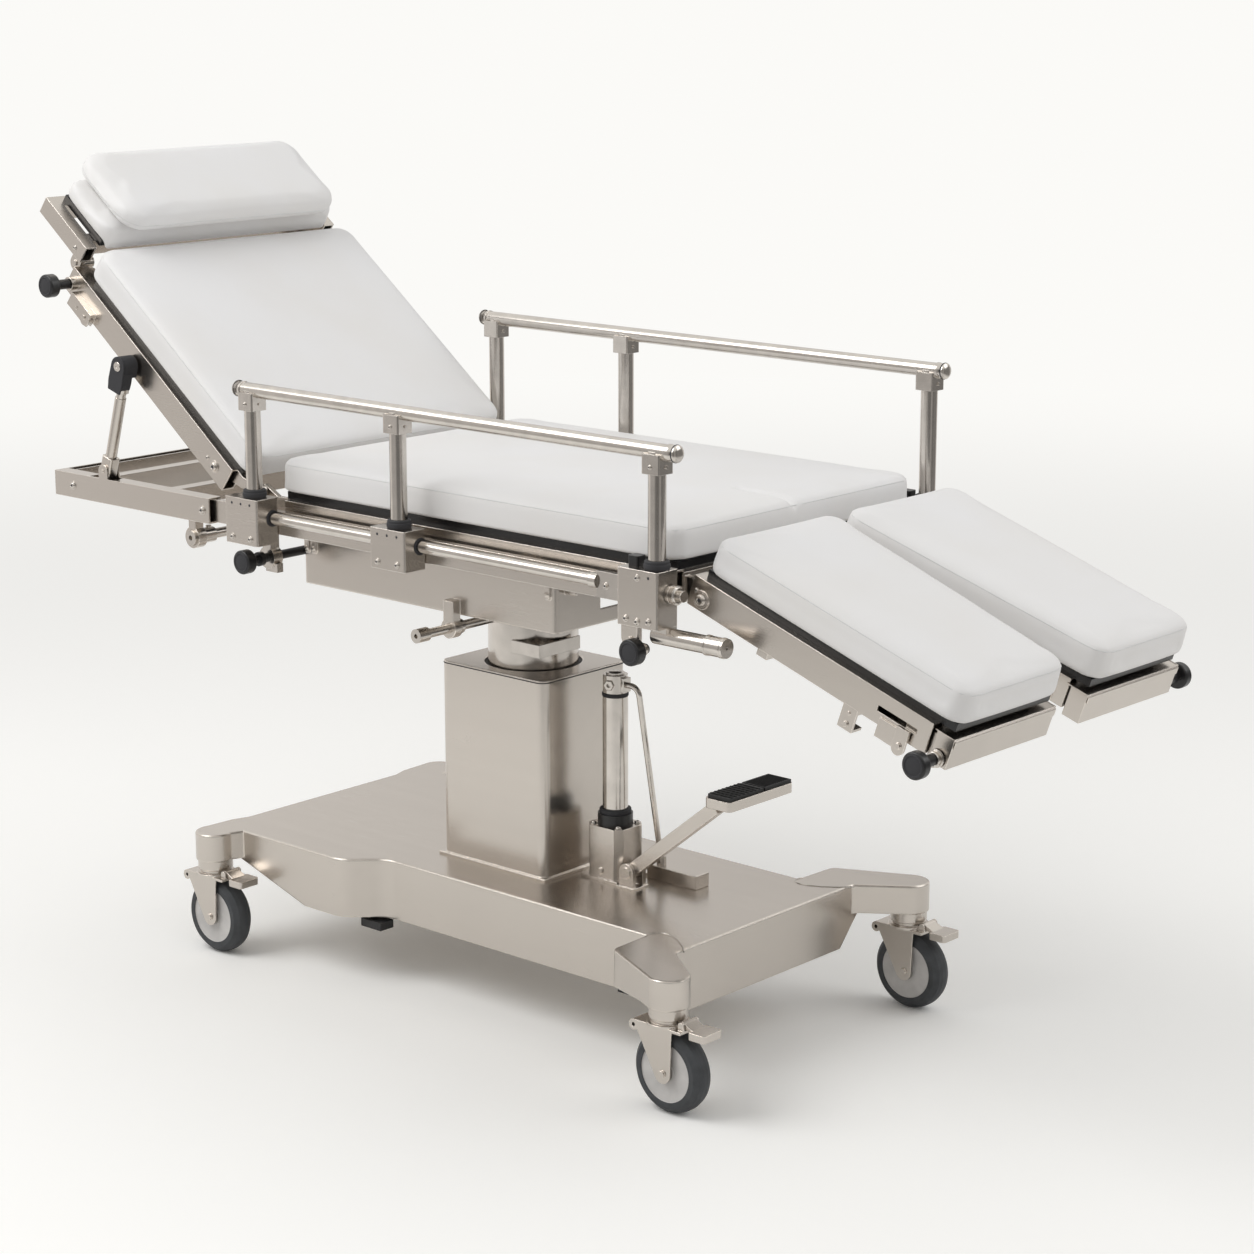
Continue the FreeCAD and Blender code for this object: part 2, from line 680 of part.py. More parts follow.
def support_frame():
    """The open frame beyond the seat that carries the strut and the cross shaft."""
    low = support_top_z - support_high
    pieces = []
    inner_y = support_outer_y - support_wide
    for side in (1, -1):
        y1, y2 = sorted((side * inner_y, side * support_outer_y))
        pieces.append(square_tube(support_x1, support_x2, y1, y2, low, support_top_z, bar_wall))
        hang = sorted((side * (inner_y + 5), side * (support_outer_y - 4)))
        pieces.append(box(cross_shaft_x - 8, cross_shaft_x + 8, hang[0], hang[1], cross_shaft_z, low))
        pieces.append(rod((cross_shaft_x, hang[0], cross_shaft_z), (0, 1, 0), 17, hang[1] - hang[0]))
        for x in (support_x1 + 46, support_x2 - 16):
            pieces.append(screw_head(x, side * support_outer_y, support_top_z - 20, 5, 3, side))
    trough = box(support_x1, support_x1 + support_wide, -inner_y, inner_y, low, support_top_z)
    trough = trough.cut(box(support_x1 + 4, support_x1 + support_wide - 4, -inner_y, inner_y, low + 4, support_top_z))
    pieces.append(trough)
    half = support_beam_wide / 2
    for x, drop in zip(support_beam_x, (3, 8)):
        pieces.append(cross_tube(x - half, x + half, inner_y, low + 3, support_top_z - drop, bar_wall))
    body = joined(pieces)
    slot_y = (-support_outer_y + bar_wall, -inner_y - bar_wall)
    sx = strut_foot[0]
    body = body.cut(box(sx - 36, sx + 22, slot_y[0], slot_y[1], support_top_z - bar_wall - 1, support_top_z + 1))
    for y in (-support_outer_y, -inner_y - bar_wall):
        ear = joined([box(sx - 11, sx + 11, y, y + bar_wall, support_top_z - 1, strut_foot[1]),
                      rod((sx, y, strut_foot[1]), (0, 1, 0), 11, bar_wall)])
        body = joined([body, ear])
    body = body.cut(rod((cross_shaft_x, -400, cross_shaft_z), (0, 1, 0), 12 + seat_gap, 800))
    return body.cut(rod((sx, -support_outer_y - 1, strut_foot[1]), (0, 1, 0), 3 + pin_gap, support_wide + 2))


def accessory_tubes():
    """The round cross shaft, the polished rods between the clamp blocks and the foot end tubes."""
    half = support_outer_y
    pieces = [rod((cross_shaft_x, -half + 30, cross_shaft_z), (0, 1, 0), 8, 2 * half - 60)]
    for side in (1, -1):
        cap = rod((cross_shaft_x, side * (half - 45), cross_shaft_z), (0, side, 0), 12, 45)
        socket = rod((cross_shaft_x, side * (half - 9), cross_shaft_z), (0, side, 0), 4, 10)
        nut = rod((cross_shaft_x, side * (half - 37), cross_shaft_z + 11), (0, 0, 1), 4.5, 4)
        pieces.append(joined([cap, nut]).cut(socket))
    shaft = joined(pieces)
    rods = []
    for side, blocks in ((-1, near_blocks), (1, far_blocks)):
        y = side * side_rod_y
        half_block = block_long / 2
        spans = ((blocks[0] + half_block - side_rod_seat, blocks[1] - half_block + side_rod_seat),
                 (blocks[1] + half_block - side_rod_seat, blocks[2] - half_block - side_rod_end_gap))
        for x1, x2 in spans:
            rods.append(rod((x1, y, side_rod_z), (1, 0, 0), side_rod_r, x2 - x1))
        end = spans[1][1]
        ferrule = rod((end - 12, y, side_rod_z), (1, 0, 0), side_rod_r + 2, 14)
        flat = box(end, blocks[2] - half_block, y - 5, y + 5, side_rod_z - 22, side_rod_z + 15)
        screws = [screw_head(end + d, y + side * 5, side_rod_z - 4, 3.5, 2.5, side) for d in (18, 44)]
        rods[-1] = joined([rods[-1], ferrule, flat] + screws)
        x = blocks[2] + 7
        z = block_low_z[2] - foot_tube_drop
        tube = rod((x, side * foot_tube_y, z), (1, 0, 0), foot_tube_r, foot_tube_long)
        sleeve = rod((x + foot_tube_long - 34, side * foot_tube_y, z), (1, 0, 0), foot_tube_r + 1, 34)
        dimple = rod((x + foot_tube_long - 6, side * foot_tube_y, z), (1, 0, 0), 2, 8)
        s1, s2 = sorted((side * (foot_tube_y - 11), side * (foot_tube_y + 11)))
        saddle = box(x, x + 28, s1, s2, z, block_low_z[2])
        rods.append(joined([tube, sleeve, saddle]).cut(dimple))
    return Part.makeCompound([shaft] + rods)


def clamp_blocks(side, blocks, posts):
    """Three clamp blocks with post bores, rod sockets, screws and the lower stem of the last."""
    done = []
    y1, y2 = sorted((side * block_inner_y, side * block_outer_y))
    for number, (x, post_x) in enumerate(zip(blocks, posts)):
        low, high = block_low_z[number], block_low_z[number] + block_high[number]
        half = block_long / 2
        block = box(x - half, x + half, y1, y2, low, high)
        block = block.makeFillet(3, edges_along(block, V(0, 0, 1)))
        face = side * block_outer_y
        screws = [screw_head(x - 20, face, low + 10, 3.6, 2.6, side), screw_head(x + 20, face, low + 10, 3.6, 2.6, side)]
        clamp = rod((x - half - 12, side * (block_inner_y + 10), high - 12), (1, 0, 0), 6, 12)
        pieces = [block, clamp] + screws
        if number == 2:
            pieces.append(rod((x - 15, side * post_y, clamp_knob_z), (0, 0, 1), 3.5, low - clamp_knob_z))
            pieces.append(rod((x - 15, side * (post_y - 10), clamp_knob_z), (0, side, 0), 9, 13.7))
            pieces.append(rod((x + half, side * side_rod_y, side_rod_z), (1, 0, 0), 12, 8))
            pieces.append(rod((x + half + 8, side * side_rod_y, side_rod_z), (1, 0, 0), 8, 12))
        body = joined(pieces)
        body = body.cut(rod((post_x, side * post_y, low - 1), (0, 0, 1), post_r + pin_gap, high - low + 2))
        if number < 2:
            seat = rod((x + half - side_rod_seat, side * side_rod_y, side_rod_z), (1, 0, 0), side_rod_r + seat_gap, 30)
            body = body.cut(seat)
        if number == 1:
            seat = rod((x - half + side_rod_seat, side * side_rod_y, side_rod_z), (-1, 0, 0), side_rod_r + seat_gap, 30)
            body = body.cut(seat)
        if number == 2:
            hole = rod((x - 15, side * (post_y - 20), clamp_knob_z), (0, side, 0), 4 + pin_gap, 60)
            body = body.cut(hole)
        done.append(body)
    return Part.makeCompound(done)


def clamp_knob(side):
    """The round knob under the last clamp block, turning on a pin through the stem's eye."""
    x = (near_blocks if side < 0 else far_blocks)[2] - 15
    disc = rod((x, side * (knob_outer_y - knob_thick), clamp_knob_z), (0, side, 0), knob_r, knob_thick)
    disc = disc.makeFillet(2.5, [e for e in disc.Edges if e.BoundBox.YLength < 1e-3])
    pin = rod((x, side * (post_y - 14), clamp_knob_z), (0, side, 0), 4, 22)
    head = rod((x, side * (post_y - 12), clamp_knob_z), (0, -side, 0), 7, 3)
    return joined([disc, pin, head])


def post_collars():
    """The black rings on the clamp blocks and the square button beside the last post."""
    pieces = []
    for side, blocks, posts in ((-1, near_blocks, near_posts), (1, far_blocks, far_posts)):
        for number, post_x in enumerate(posts):
            top = block_low_z[number] + block_high[number]
            pieces.append(ring((post_x, side * post_y, top), (0, 0, 1), collar_r, post_r + pin_gap, collar_high))
        x = blocks[2] - 18
        button = box(x - 9, x + 9, side * post_y - 9, side * post_y + 9, top, top + 15)
        pieces.append(button.makeFillet(3, edges_along(button, V(0, 0, 1))))
    return Part.makeCompound(pieces)


def rail_tube(ends, y):
    """The rail with a domed cap on each end, turned in one profile."""
    middle = (ends[0] + ends[1]) / 2
    half = (ends[1] - ends[0]) / 2
    ball = rail_r + cap_proud
    neck = half - ball - cap_neck
    tip = V(0, 0, half)
    bend = V(ball * math.sin(math.pi / 4), 0, half - ball + ball * math.cos(math.pi / 4))
    edge = [V(0, 0, 0), V(rail_r, 0, 0), V(rail_r, 0, neck), V(ball, 0, neck), V(ball, 0, half - ball)]
    lines = [Part.LineSegment(a, b).toShape() for a, b in zip(edge, edge[1:])]
    dome = Part.Arc(edge[-1], bend, tip).toShape()
    outline = Part.Wire(lines + [dome, Part.LineSegment(tip, edge[0]).toShape()])
    right = Part.Face(outline).revolve(V(0, 0, 0), V(0, 0, 1), 360)
    left = right.mirror(V(0, 0, 0), V(0, 0, 1))
    tube = joined([right, left])
    tube.rotate(V(0, 0, 0), V(0, 1, 0), 90)
    tube.translate(V(middle, y, rail_z))
    return tube


def hand_rail(side, posts, ends, lift):
    """A round rail with domed ends on three posts, each under a folded saddle with two screws."""
    y = side * post_y
    pieces = [rail_tube(ends, y)]
    half, half_y = saddle_long / 2, saddle_wide / 2
    for x in posts:
        pieces.append(rod((x, y, post_low_z), (0, 0, 1), post_r, rail_z - post_low_z))
        saddle = box(x - half, x + half, y - half_y, y + half_y, rail_z - saddle_high, rail_z - saddle_seat)
        pieces.append(saddle.makeFillet(saddle_edge_r, edges_along(saddle, V(0, 0, 1))))
        screw_z = rail_z - saddle_high + saddle_screw_up
        pieces.append(screw_head(x, y + side * half_y, screw_z, saddle_screw_r, saddle_screw_high, side))
        pieces.append(rod((x + half, y, screw_z), (1, 0, 0), saddle_screw_r, saddle_screw_high))
    rail = joined(pieces)
    rail.translate(V(0, 0, lift))
    return rail


def seat_board():
    z2 = pad_top_z - pad_thick
    half = pad_half_width - board_inset
    return box(seat_x1 + 14, seat_x2 - 12, -half, half, z2 - board_thick, z2)


def seat_pad():
    """The long seat cushion with the short slit at its foot end."""
    low = pad_top_z - pad_thick + pad_gap
    pad = box(seat_x1, seat_x2, -pad_half_width, pad_half_width, low, pad_top_z)
    pad = cushion(pad, pad_plan_r, pad_edge_r)
    y1 = seat_slit_y - seat_slit_wide / 2
    slit = box(seat_x2 - seat_slit_long, seat_x2 + 1, y1, y1 + seat_slit_wide, pad_top_z - seat_slit_deep, pad_top_z + 1)
    return pad.cut(slit)


def back_frame():
    """The two side bars of the back section, their hinge tongues, cross tubes and rod sockets."""
    low, top = bar_low, bar_top
    ps, pn = section_coords(back_hinge, back_angle, back_corner, -1)
    outer = bar_outer_y + 2
    inner = outer - bar_wide
    pieces = []
    for side in (1, -1):
        y1, y2 = sorted((side * inner, side * outer))
        pieces.append(square_tube(-back_bar_end, -back_bar_start, y1, y2, low, top, bar_wall))
        t1, t2 = sorted((side * inner, side * (inner + 15)))
        points = [(-ps - 9, pn + 5), (-14, top - 0.5), (-60, top - 0.5), (-60, low + 8), (-ps - 3, pn - 9.5)]
        pieces.append(flat_plate(points, t1, t2, "xz"))
        pieces.append(rod((-ps, t1, pn), (0, 1, 0), back_knuckle_r, 15))
        socket_start = 400.0
        pieces.append(rod((-back_bar_end, side * head_rod_y, head_rod_n), (1, 0, 0), socket_r, back_bar_end - socket_start))
        pieces.append(screw_head(-64, side * outer, -92, 7, 4, side))
        pieces.append(screw_head(-84, side * outer, -92, 3, 1.5, side))
    for s in (110, 455):
        pieces.append(cross_tube(-s - 14, -s + 14, inner, low + 6, top - 5, bar_wall))
    latch_end = latch_start + latch_long
    latch = box(-latch_end, -latch_start, -outer - 12, -outer, low - 6, low + 18)
    latch = latch.cut(box(10 - latch_end, 4 - latch_start, -outer - 8, -outer - 3, low - 7, low + 12))
    pieces.append(latch)
    pieces.append(rod((-421, -outer - 12, low + 3), (0, 1, 0), 11, 12))
    pieces.append(screw_head(-424, -outer - 12, low + 4, 4, 2, -1))
    pieces.append(screw_head(-446, -outer - 12, low + 4, 2.5, 1.5, -1))
    ks, kn = head_knob_place
    pieces.append(rod((-ks, -outer - 14, kn), (0, 1, 0), 11, 14))
    ss, sn = section_coords(strut_head, back_angle, back_corner, -1)
    pieces.append(rod((-ss, -outer - 27, sn), (0, 1, 0), strut_pin_r, 27))
    pieces.append(rod((-ss, -outer - 29.5, sn), (0, 1, 0), 9.5, 2.5))
    body = joined(pieces)
    for side in (1, -1):
        bore = rod((-head_rod_start + 60, side * head_rod_y, head_rod_n), (-1, 0, 0), head_rod_r + pin_gap, 300)
        body = body.cut(bore)
        body = body.cut(rod((-ps, -outer - 1, pn), (0, 1, 0), back_pin_r + pin_gap, 2 * outer + 2))
    body = body.cut(rod((-ks, -outer - 20, kn), (0, 1, 0), 6 + pin_gap, 52))
    return back_place(body)


def head_knob():
    """The spring pin that locks the head section's rods, with its knob."""
    ks, kn = head_knob_place
    outer = bar_outer_y + 2
    pin = rod((-ks, -outer - 34, kn), (0, 1, 0), 6, 34 + 18)
    stem = rod((-ks, -outer - 42, kn), (0, 1, 0), 8, 26)
    disc = rod((-ks, -knob_outer_y + 2, kn), (0, 1, 0), knob_r, 18)
    disc = disc.makeFillet(3, [e for e in disc.Edges if e.BoundBox.YLength < 1e-3])
    return back_place(joined([pin, stem, disc]))


def back_board():
    half = pad_half_width - board_inset
    board = box(-back_pad_end + 14, -20, -half, half, bar_top, bar_top + board_thick)
    return back_place(board)


def back_pad():
    pad = box(-back_pad_end, -back_pad_start, -pad_half_width, pad_half_width, -pad_thick + pad_gap, 0)
    return back_place(cushion(pad, pad_plan_r, pad_edge_r))


def head_rods():
    """The two rods that carry the head section and slide in the back section's sockets."""
    hs, hn = head_pivot
    pieces = []
    for side in (1, -1):
        y = side * head_rod_y
        shaft = rod((-hs, y, head_rod_n), (1, 0, 0), head_rod_r, hs - head_rod_start)
        block = box(-hs - 11, -hs + 11, y - 10, y + 10, head_rod_n - 9, hn)
        eye = rod((-hs, y - 10, hn), (0, 1, 0), 11, 20)
        body = joined([shaft, block, eye])
        pieces.append(body.cut(rod((-hs, y - 12, hn), (0, 1, 0), 5 + pin_gap, 24)))
    return back_place(Part.makeCompound(pieces))


def head_frame():
    """The open frame of the head section with the ears that turn on the rods' eyes."""
    top, low = head_bar_top, head_bar_top - head_bar_high
    outer, inner = head_half_width, head_half_width - 22
    hs, hn = head_pivot
    pieces = []
    for side in (1, -1):
        y1, y2 = sorted((side * inner, side * outer))
        pieces.append(square_tube(-head_bar_end, -head_bar_start, y1, y2, low, top, bar_wall))
        e1, e2 = sorted((side * (inner + 1), side * (inner + 9)))
        pieces.append(box(-hs - 12, -hs + 12, e1, e2, hn, low + 1))
        pieces.append(rod((-hs, e1, hn), (0, 1, 0), 12, 8))
        pieces.append(rod((-hs, side * (head_rod_y - 12), hn), (0, side, 0), 5, inner + 9 - head_rod_y + 14))
        pieces.append(screw_head(-hs - 2, side * outer, low + 12, 3, 1.5, side))
    pieces.append(cross_tube(-head_bar_end, -head_bar_end + 22, inner, low, top, bar_wall))
    pieces.append(cross_tube(-head_bar_start - 34, -head_bar_start - 16, inner, low, top - 1, bar_wall))
    return back_place(joined(pieces))


def head_board():
    board = box(-head_bar_end + 10, -head_bar_start - 3, -head_lower_half + 8, head_lower_half - 8,
                head_bar_top, head_bar_top + board_thick)
    return back_place(board)


def head_pad_lower():
    low = head_bar_top + board_thick + pad_gap
    pad = box(-head_bar_end + 6, -head_bar_start + 11, -head_lower_half, head_lower_half, low, low + head_pad_lower_high)
    return back_place(cushion(pad, pad_plan_r, 6))


def head_pad_upper():
    low = head_bar_top + board_thick + 2 * pad_gap + head_pad_lower_high
    pad = box(-head_bar_end - 22, -head_bar_start + 19, -head_upper_half, head_upper_half, low, low + head_pad_upper_high)
    return back_place(cushion(pad, pad_plan_r, pad_edge_r))


def strut_axis():
    dx, dz = strut_head[0] - strut_foot[0], strut_head[1] - strut_foot[1]
    length = math.hypot(dx, dz)
    return (dx / length, 0, dz / length), length


def along_strut(distance):
    """The point on the strut's axis at a distance above its foot pivot."""
    axis, _ = strut_axis()
    return (strut_foot[0] + axis[0] * distance, -strut_y, strut_foot[1] + axis[2] * distance)


def strut_tube():
    """The strut's outer tube with the foot sleeve and pivot pin."""
    axis, _ = strut_axis()
    start = along_strut(-strut_tube_down)
    tube = rod(start, axis, strut_tube_r, strut_tube_down + strut_tube_up)
    sleeve = box(-12, 12, -9.6, 9.6, -10, 24)
    sleeve = sleeve.makeFillet(4, edges_along(sleeve, V(0, 0, 1)))
    sleeve.rotate(V(0, 0, 0), V(0, 1, 0), math.degrees(math.atan2(axis[0], axis[2])))
    sleeve.translate(V(strut_foot[0], -strut_y, strut_foot[1]))
    pin = rod((strut_foot[0], -support_outer_y - 1, strut_foot[1]), (0, 1, 0), 3, support_wide + 2)
    body = joined([tube, sleeve, pin])
    bore_start = along_strut(-strut_tube_down + 3)
    return body.cut(rod(bore_start, axis, strut_rod_r + pin_gap, strut_tube_down + strut_tube_up + 5))


def strut_rod():
    """The strut's rod with the clevis sleeve that turns on the back section's pin."""
    axis, length = strut_axis()
    inner_end = strut_tube_up - strut_rod_in_tube
    shaft = rod(along_strut(inner_end), axis, strut_rod_r, length - inner_end - strut_eye_r - 2)
    sleeve_start = length - strut_sleeve_long
    sleeve = rod(along_strut(sleeve_start), axis, 11.2, strut_sleeve_long - strut_solid_long)
    sleeve = sleeve.cut(rod(along_strut(sleeve_start), axis, strut_tube_r + 0.4, strut_sleeve_long - strut_solid_long))
    block = box(-12, 12, -11, 11, -strut_solid_long, 0)
    eye = joined([block, rod((0, -11, 0), (0, 1, 0), 12, 22)])
    eye = eye.cut(rod((0, -12, 0), (0, 1, 0), strut_eye_r, 24))
    eye.rotate(V(0, 0, 0), V(0, 1, 0), math.degrees(math.atan2(axis[0], axis[2])))
    eye.translate(V(strut_head[0], -strut_y, strut_head[1]))
    return joined([shaft, sleeve, eye])


def leg_frame(side):
    """A leg section's frame: two bars, cross tubes, end box, latch plates and hanging brackets."""
    low, top = bar_low, bar_top
    hs, hn = section_coords(leg_hinge, leg_angle, leg_corner, 1)
    outer, inner = bar_outer_y, bar_inner_y
    in_y2, in_y1 = leg_inner_bar_y, leg_inner_bar_y - 20
    pieces = [square_tube(leg_bar_start, leg_bar_end, inner, outer, low, top, bar_wall),
              square_tube(leg_bar_start, leg_bar_end, in_y1, in_y2, low, top, bar_wall)]
    for s in (60, 330):
        wall = bar_wall
        tube = box(s, s + 25, in_y2, inner, low + 8, top - 6)
        pieces.append(tube.cut(box(s + wall, s + 25 - wall, in_y2, inner, low + 8 + wall, top - 6 - wall)))
    for y in (inner, in_y1):
        pieces.append(rod((hs, y, hn), (0, 1, 0), leg_pin_r + 5, (outer if y == inner else in_y2) - y))
    s1, s2 = leg_box_start, leg_box_start + leg_box_long
    shell = box(s1, s2, leg_inner_end + 2, outer - 4, low - 6, low - 6 + leg_box_high)
    wall = 2.0
    shell = shell.cut(box(s1 - 1, s2 - wall, leg_inner_end + 2 + wall, outer - 4 - wall, low - 6 + wall, low + leg_box_high))
    pieces.append(shell)
    for y1, y2 in ((outer - 14, outer - 6), (in_y1 + 6, in_y1 + 14)):
        arm = box(leg_bar_end - 40, s2 - wall, y1, y2, low + 4, top - 12)
        pieces.append(arm)
        pieces.append(box(leg_bar_end - 40, leg_bar_end - 20, y1 - 9, y2 + 3, low + bar_wall, top - bar_wall))
    pieces += leg_details(low, outer)
    body = joined(pieces)
    body = body.cut(rod((hs, in_y1 - 5, hn), (0, 1, 0), leg_pin_r + pin_gap, outer - in_y1 + 4.5))
    body = body.cut(box(326, 392, outer - 4, outer + 1, low + 17, low + 25))
    ks, kn = leg_knob_place
    body = body.cut(rod((ks, outer - 30, kn), (0, 1, 0), 5 + pin_gap, 30))
    body = leg_place(body)
    return body if side > 0 else mirrored(body)


def leg_details(low, outer):
    """Latch plates, the hanging two-screw bracket, the small nub and screw heads of a leg frame."""
    bracket = box(274, 298, outer - 24, outer - 2, low - 34, low)
    bracket = bracket.cut(box(278, 299, outer - 25, outer - 6, low - 30, low - 8))
    plate = box(335, 372, outer, outer + 3, low - 15, low + 12)
    latch = joined([box(366, 386, outer + 3, outer + 7, low - 10, low + 18), rod((376, outer + 3, low - 10), (0, 1, 0), 10, 4)])
    bolt = screw_head(376, outer + 7, low - 7, 4.5, 2.5, 1)
    nub = box(120, 138, outer - 20, outer - 4, low - 11, low)
    hs, hn = section_coords(leg_hinge, leg_angle, leg_corner, 1)
    pivot = joined([screw_head(hs, outer + 1, hn, 7.5, 4, 1)])
    heads = [screw_head(286, outer - 2, low - 26, 4, 2.5, 1), screw_head(286, outer - 2, low - 10, 2.5, 1.5, 1),
             screw_head(hs - 12, outer, hn + 8, 3, 1.5, 1)]
    cap = rod((hs, outer, hn), (0, 1, 0), 13, 1.5)
    collar = rod((430, outer - 4, -108), (0, 1, 0), 9, 3)
    return [bracket, plate, latch, bolt, nub, pivot, cap, collar] + heads


def leg_knob(side):
    """The spring pin and knob at the outer end of a leg section."""
    ks, kn = leg_knob_place
    outer = bar_outer_y
    pin = rod((ks, outer - 24, kn), (0, 1, 0), 5, 40)
    stem = rod((ks, outer + 8, kn), (0, 1, 0), 8, 28)
    disc = rod((ks, outer + 33, kn), (0, 1, 0), knob_r, 15)
    disc = disc.makeFillet(3, [e for e in disc.Edges if e.BoundBox.YLength < 1e-3])
    knob = leg_place(joined([pin, stem, disc]))
    return knob if side > 0 else mirrored(knob)


def leg_board(side):
    board = box(4, leg_pad_end - 14, leg_inner_bar_y - 14, pad_half_width - board_inset, bar_top, bar_top + board_thick)
    board = leg_place(board)
    return board if side > 0 else mirrored(board)


def leg_pad(side):
    """A leg cushion, narrower at the foot end because its inner side tapers."""
    outer = pad_half_width
    points = [(0, leg_inner_start), (leg_pad_end, leg_inner_end), (leg_pad_end, outer), (0, outer)]
    pad = flat_plate(points, -pad_thick + pad_gap, 0, "xy")
    pad = leg_place(cushion(pad, pad_plan_r, pad_edge_r))
    return pad if side > 0 else mirrored(pad)


def lock_knob():
    """The clamp screw across the head end of the side bar, with its knob and small lever."""
    x, z = lock_knob_x, lock_knob_z
    shaft = rod((x, -knob_outer_y + knob_thick - 1, z), (0, 1, 0), knob_shaft_r, 117)
    disc = rod((x, -knob_outer_y, z), (0, 1, 0), knob_r, knob_thick)
    disc = disc.makeFillet(2.5, [e for e in disc.Edges if e.BoundBox.YLength < 1e-3])
    collar_a = rod((x, -block_inner_y - 9, z), (0, 1, 0), 11, 8)
    return joined([shaft, disc, collar_a])


def lock_ring():
    """The split clamp under the side bar through which the clamp screw passes."""
    x, z = lock_knob_x, lock_knob_z
    y1, y2 = -side_bar_y - 3, -side_bar_y + 15
    eye = rod((x, y1, z), (0, 1, 0), 17, y2 - y1)
    tab = box(x - 9, x + 9, y1, y2, z, side_bar_low_z)
    ear = box(x - 6, x + 20, y1 + 3, y2 - 3, z - 22, z - 8)
    body = joined([eye, tab, ear])
    return body.cut(rod((x, y1 - 1, z), (0, 1, 0), knob_shaft_r + pin_gap, y2 - y1 + 2))


def caster_places():
    """The four caster stems, named by end and side."""
    places = []
    for end, stem in (("head", head_stem), ("foot", foot_stem)):
        for name, side in (("near", -1), ("far", 1)):
            places.append((f"{end}_{name}", stem[0], side * stem[1]))
    return places


def caster_fork(x, y):
    """A caster's stem, bearing rings, top plate, two tapered cheeks, axle and lug."""
    half_in = wheel_wide / 2 + fork_gap
    half_out = half_in + fork_wall
    axle_x = x + caster_trail
    plate = box(x - 44, x + brake_pivot_x + 5, y - half_out, y + half_out, fork_top_z - 4, fork_top_z)
    pieces = [plate]
    for side in (1, -1):
        y1, y2 = sorted((y + side * half_in, y + side * half_out))
        points = [(x - 40, fork_top_z - 2), (x - 38, fork_top_z - 12), (axle_x - 12.2, wheel_r - 6.7),
                  (axle_x + cheek_r - 0.2, wheel_r), (axle_x + 17, fork_top_z - 2)]
        cheek = [flat_plate(points, y1, y2, "xz"), rod((axle_x, y1, wheel_r), (0, 1, 0), cheek_r, fork_wall)]
        pieces.append(joined(cheek))
        pieces.append(screw_head(axle_x, y + side * half_out, wheel_r, axle_head_r, axle_head_high, side))
    pieces.append(rod((axle_x, y - half_in - 1, wheel_r), (0, 1, 0), axle_r, 2 * half_in + 2))
    pieces.append(rod((x - 44, y - half_out, fork_top_z - 8), (0, 1, 0), 8, 2 * half_out))
    pieces.append(rod((x, y, fork_top_z - 1), (0, 0, 1), bearing_r + 3, 4))
    pieces.append(rod((x, y, fork_top_z + 2), (0, 0, 1), bearing_r - 3, 6))
    pieces.append(rod((x, y, fork_top_z + 2), (0, 0, 1), stem_r, lobe_low_z - fork_top_z - 2 + stem_high))
    body = joined(pieces)
    return body.cut(rod((x - 44, y - half_out - 1, fork_top_z - 8), (0, 1, 0), 3, 2 * half_out + 2))


def bearing_rings():
    """The fixed upper bearing rings under the base's feet."""
    low = fork_top_z + 9
    rings = [ring((x, y, low), (0, 0, 1), bearing_r, stem_r + pin_gap, lobe_low_z - low) for _, x, y in caster_places()]
    return Part.makeCompound(rings)


def caster_wheel(x, y):
    """A wheel turned in one profile: rounded tyre, flat disc and bore."""
    half = wheel_wide / 2
    profile = [(axle_r + pin_gap, -half + 1), (14, -half + 1), (14, -half + disc_inset + 1), (disc_r, -half + disc_inset),
               (disc_r + 1, -half), (wheel_r - 9, -half), (wheel_r - 2, -half + 7), (wheel_r, -half + 14)]
    profile += [(r, -a) for r, a in reversed(profile)]
    wire = Part.makePolygon([V(r, a, 0) for r, a in profile + profile[:1]])
    wheel = Part.Face(wire).revolve(V(0, 0, 0), V(0, 1, 0), 360)
    wheel.translate(V(x + caster_trail, y, wheel_r))
    return wheel


def caster_brake(x, y):
    """The foot lever of a caster brake, turning on a pin between two ears of the fork."""
    px, pz = x + brake_pivot_x, fork_top_z + brake_pin_lift
    tip = x + brake_reach
    top = pz - 4
    start = tip - brake_pad_long
    points = [(px, pz - 5), (px + 8, pz - 5), (start + 4, top - 7), (start + 4, top), (px, pz + 5)]
    arm = flat_plate(points, y - 13, y + 13, "xz")
    eye = rod((px, y - 13, pz), (0, 1, 0), 5, 26)
    half, wall, low = brake_pad_wide / 2, brake_pad_wall, top - brake_pad_high
    corners = [(start, y - half, 4), (tip, y - half, 5), (tip, y + half, 5), (start, y + half, 4)]
    pad = rounded_plate(corners, low, top)
    pad = pad.cut(box(start - 1, tip - wall, y - half + wall, y + half - wall, low - 1, top - wall))
    body = joined([arm, eye, pad])
    return body.cut(rod((px, y - 20, pz), (0, 1, 0), brake_pin_r + pin_gap, 40))


def brake_mounts(x, y):
    """The fork's two ears and the pin for the brake lever."""
    px, pz = x + brake_pivot_x, fork_top_z + brake_pin_lift
    pieces = [rod((px, y - 17, pz), (0, 1, 0), brake_pin_r, 34)]
    for side in (1, -1):
        y1, y2 = sorted((y + side * 14, y + side * 17))
        pieces.append(box(px - 5, px + 5, y1, y2, fork_top_z - 1, pz))
        pieces.append(rod((px, y1, pz), (0, 1, 0), 5, 3))
    return pieces


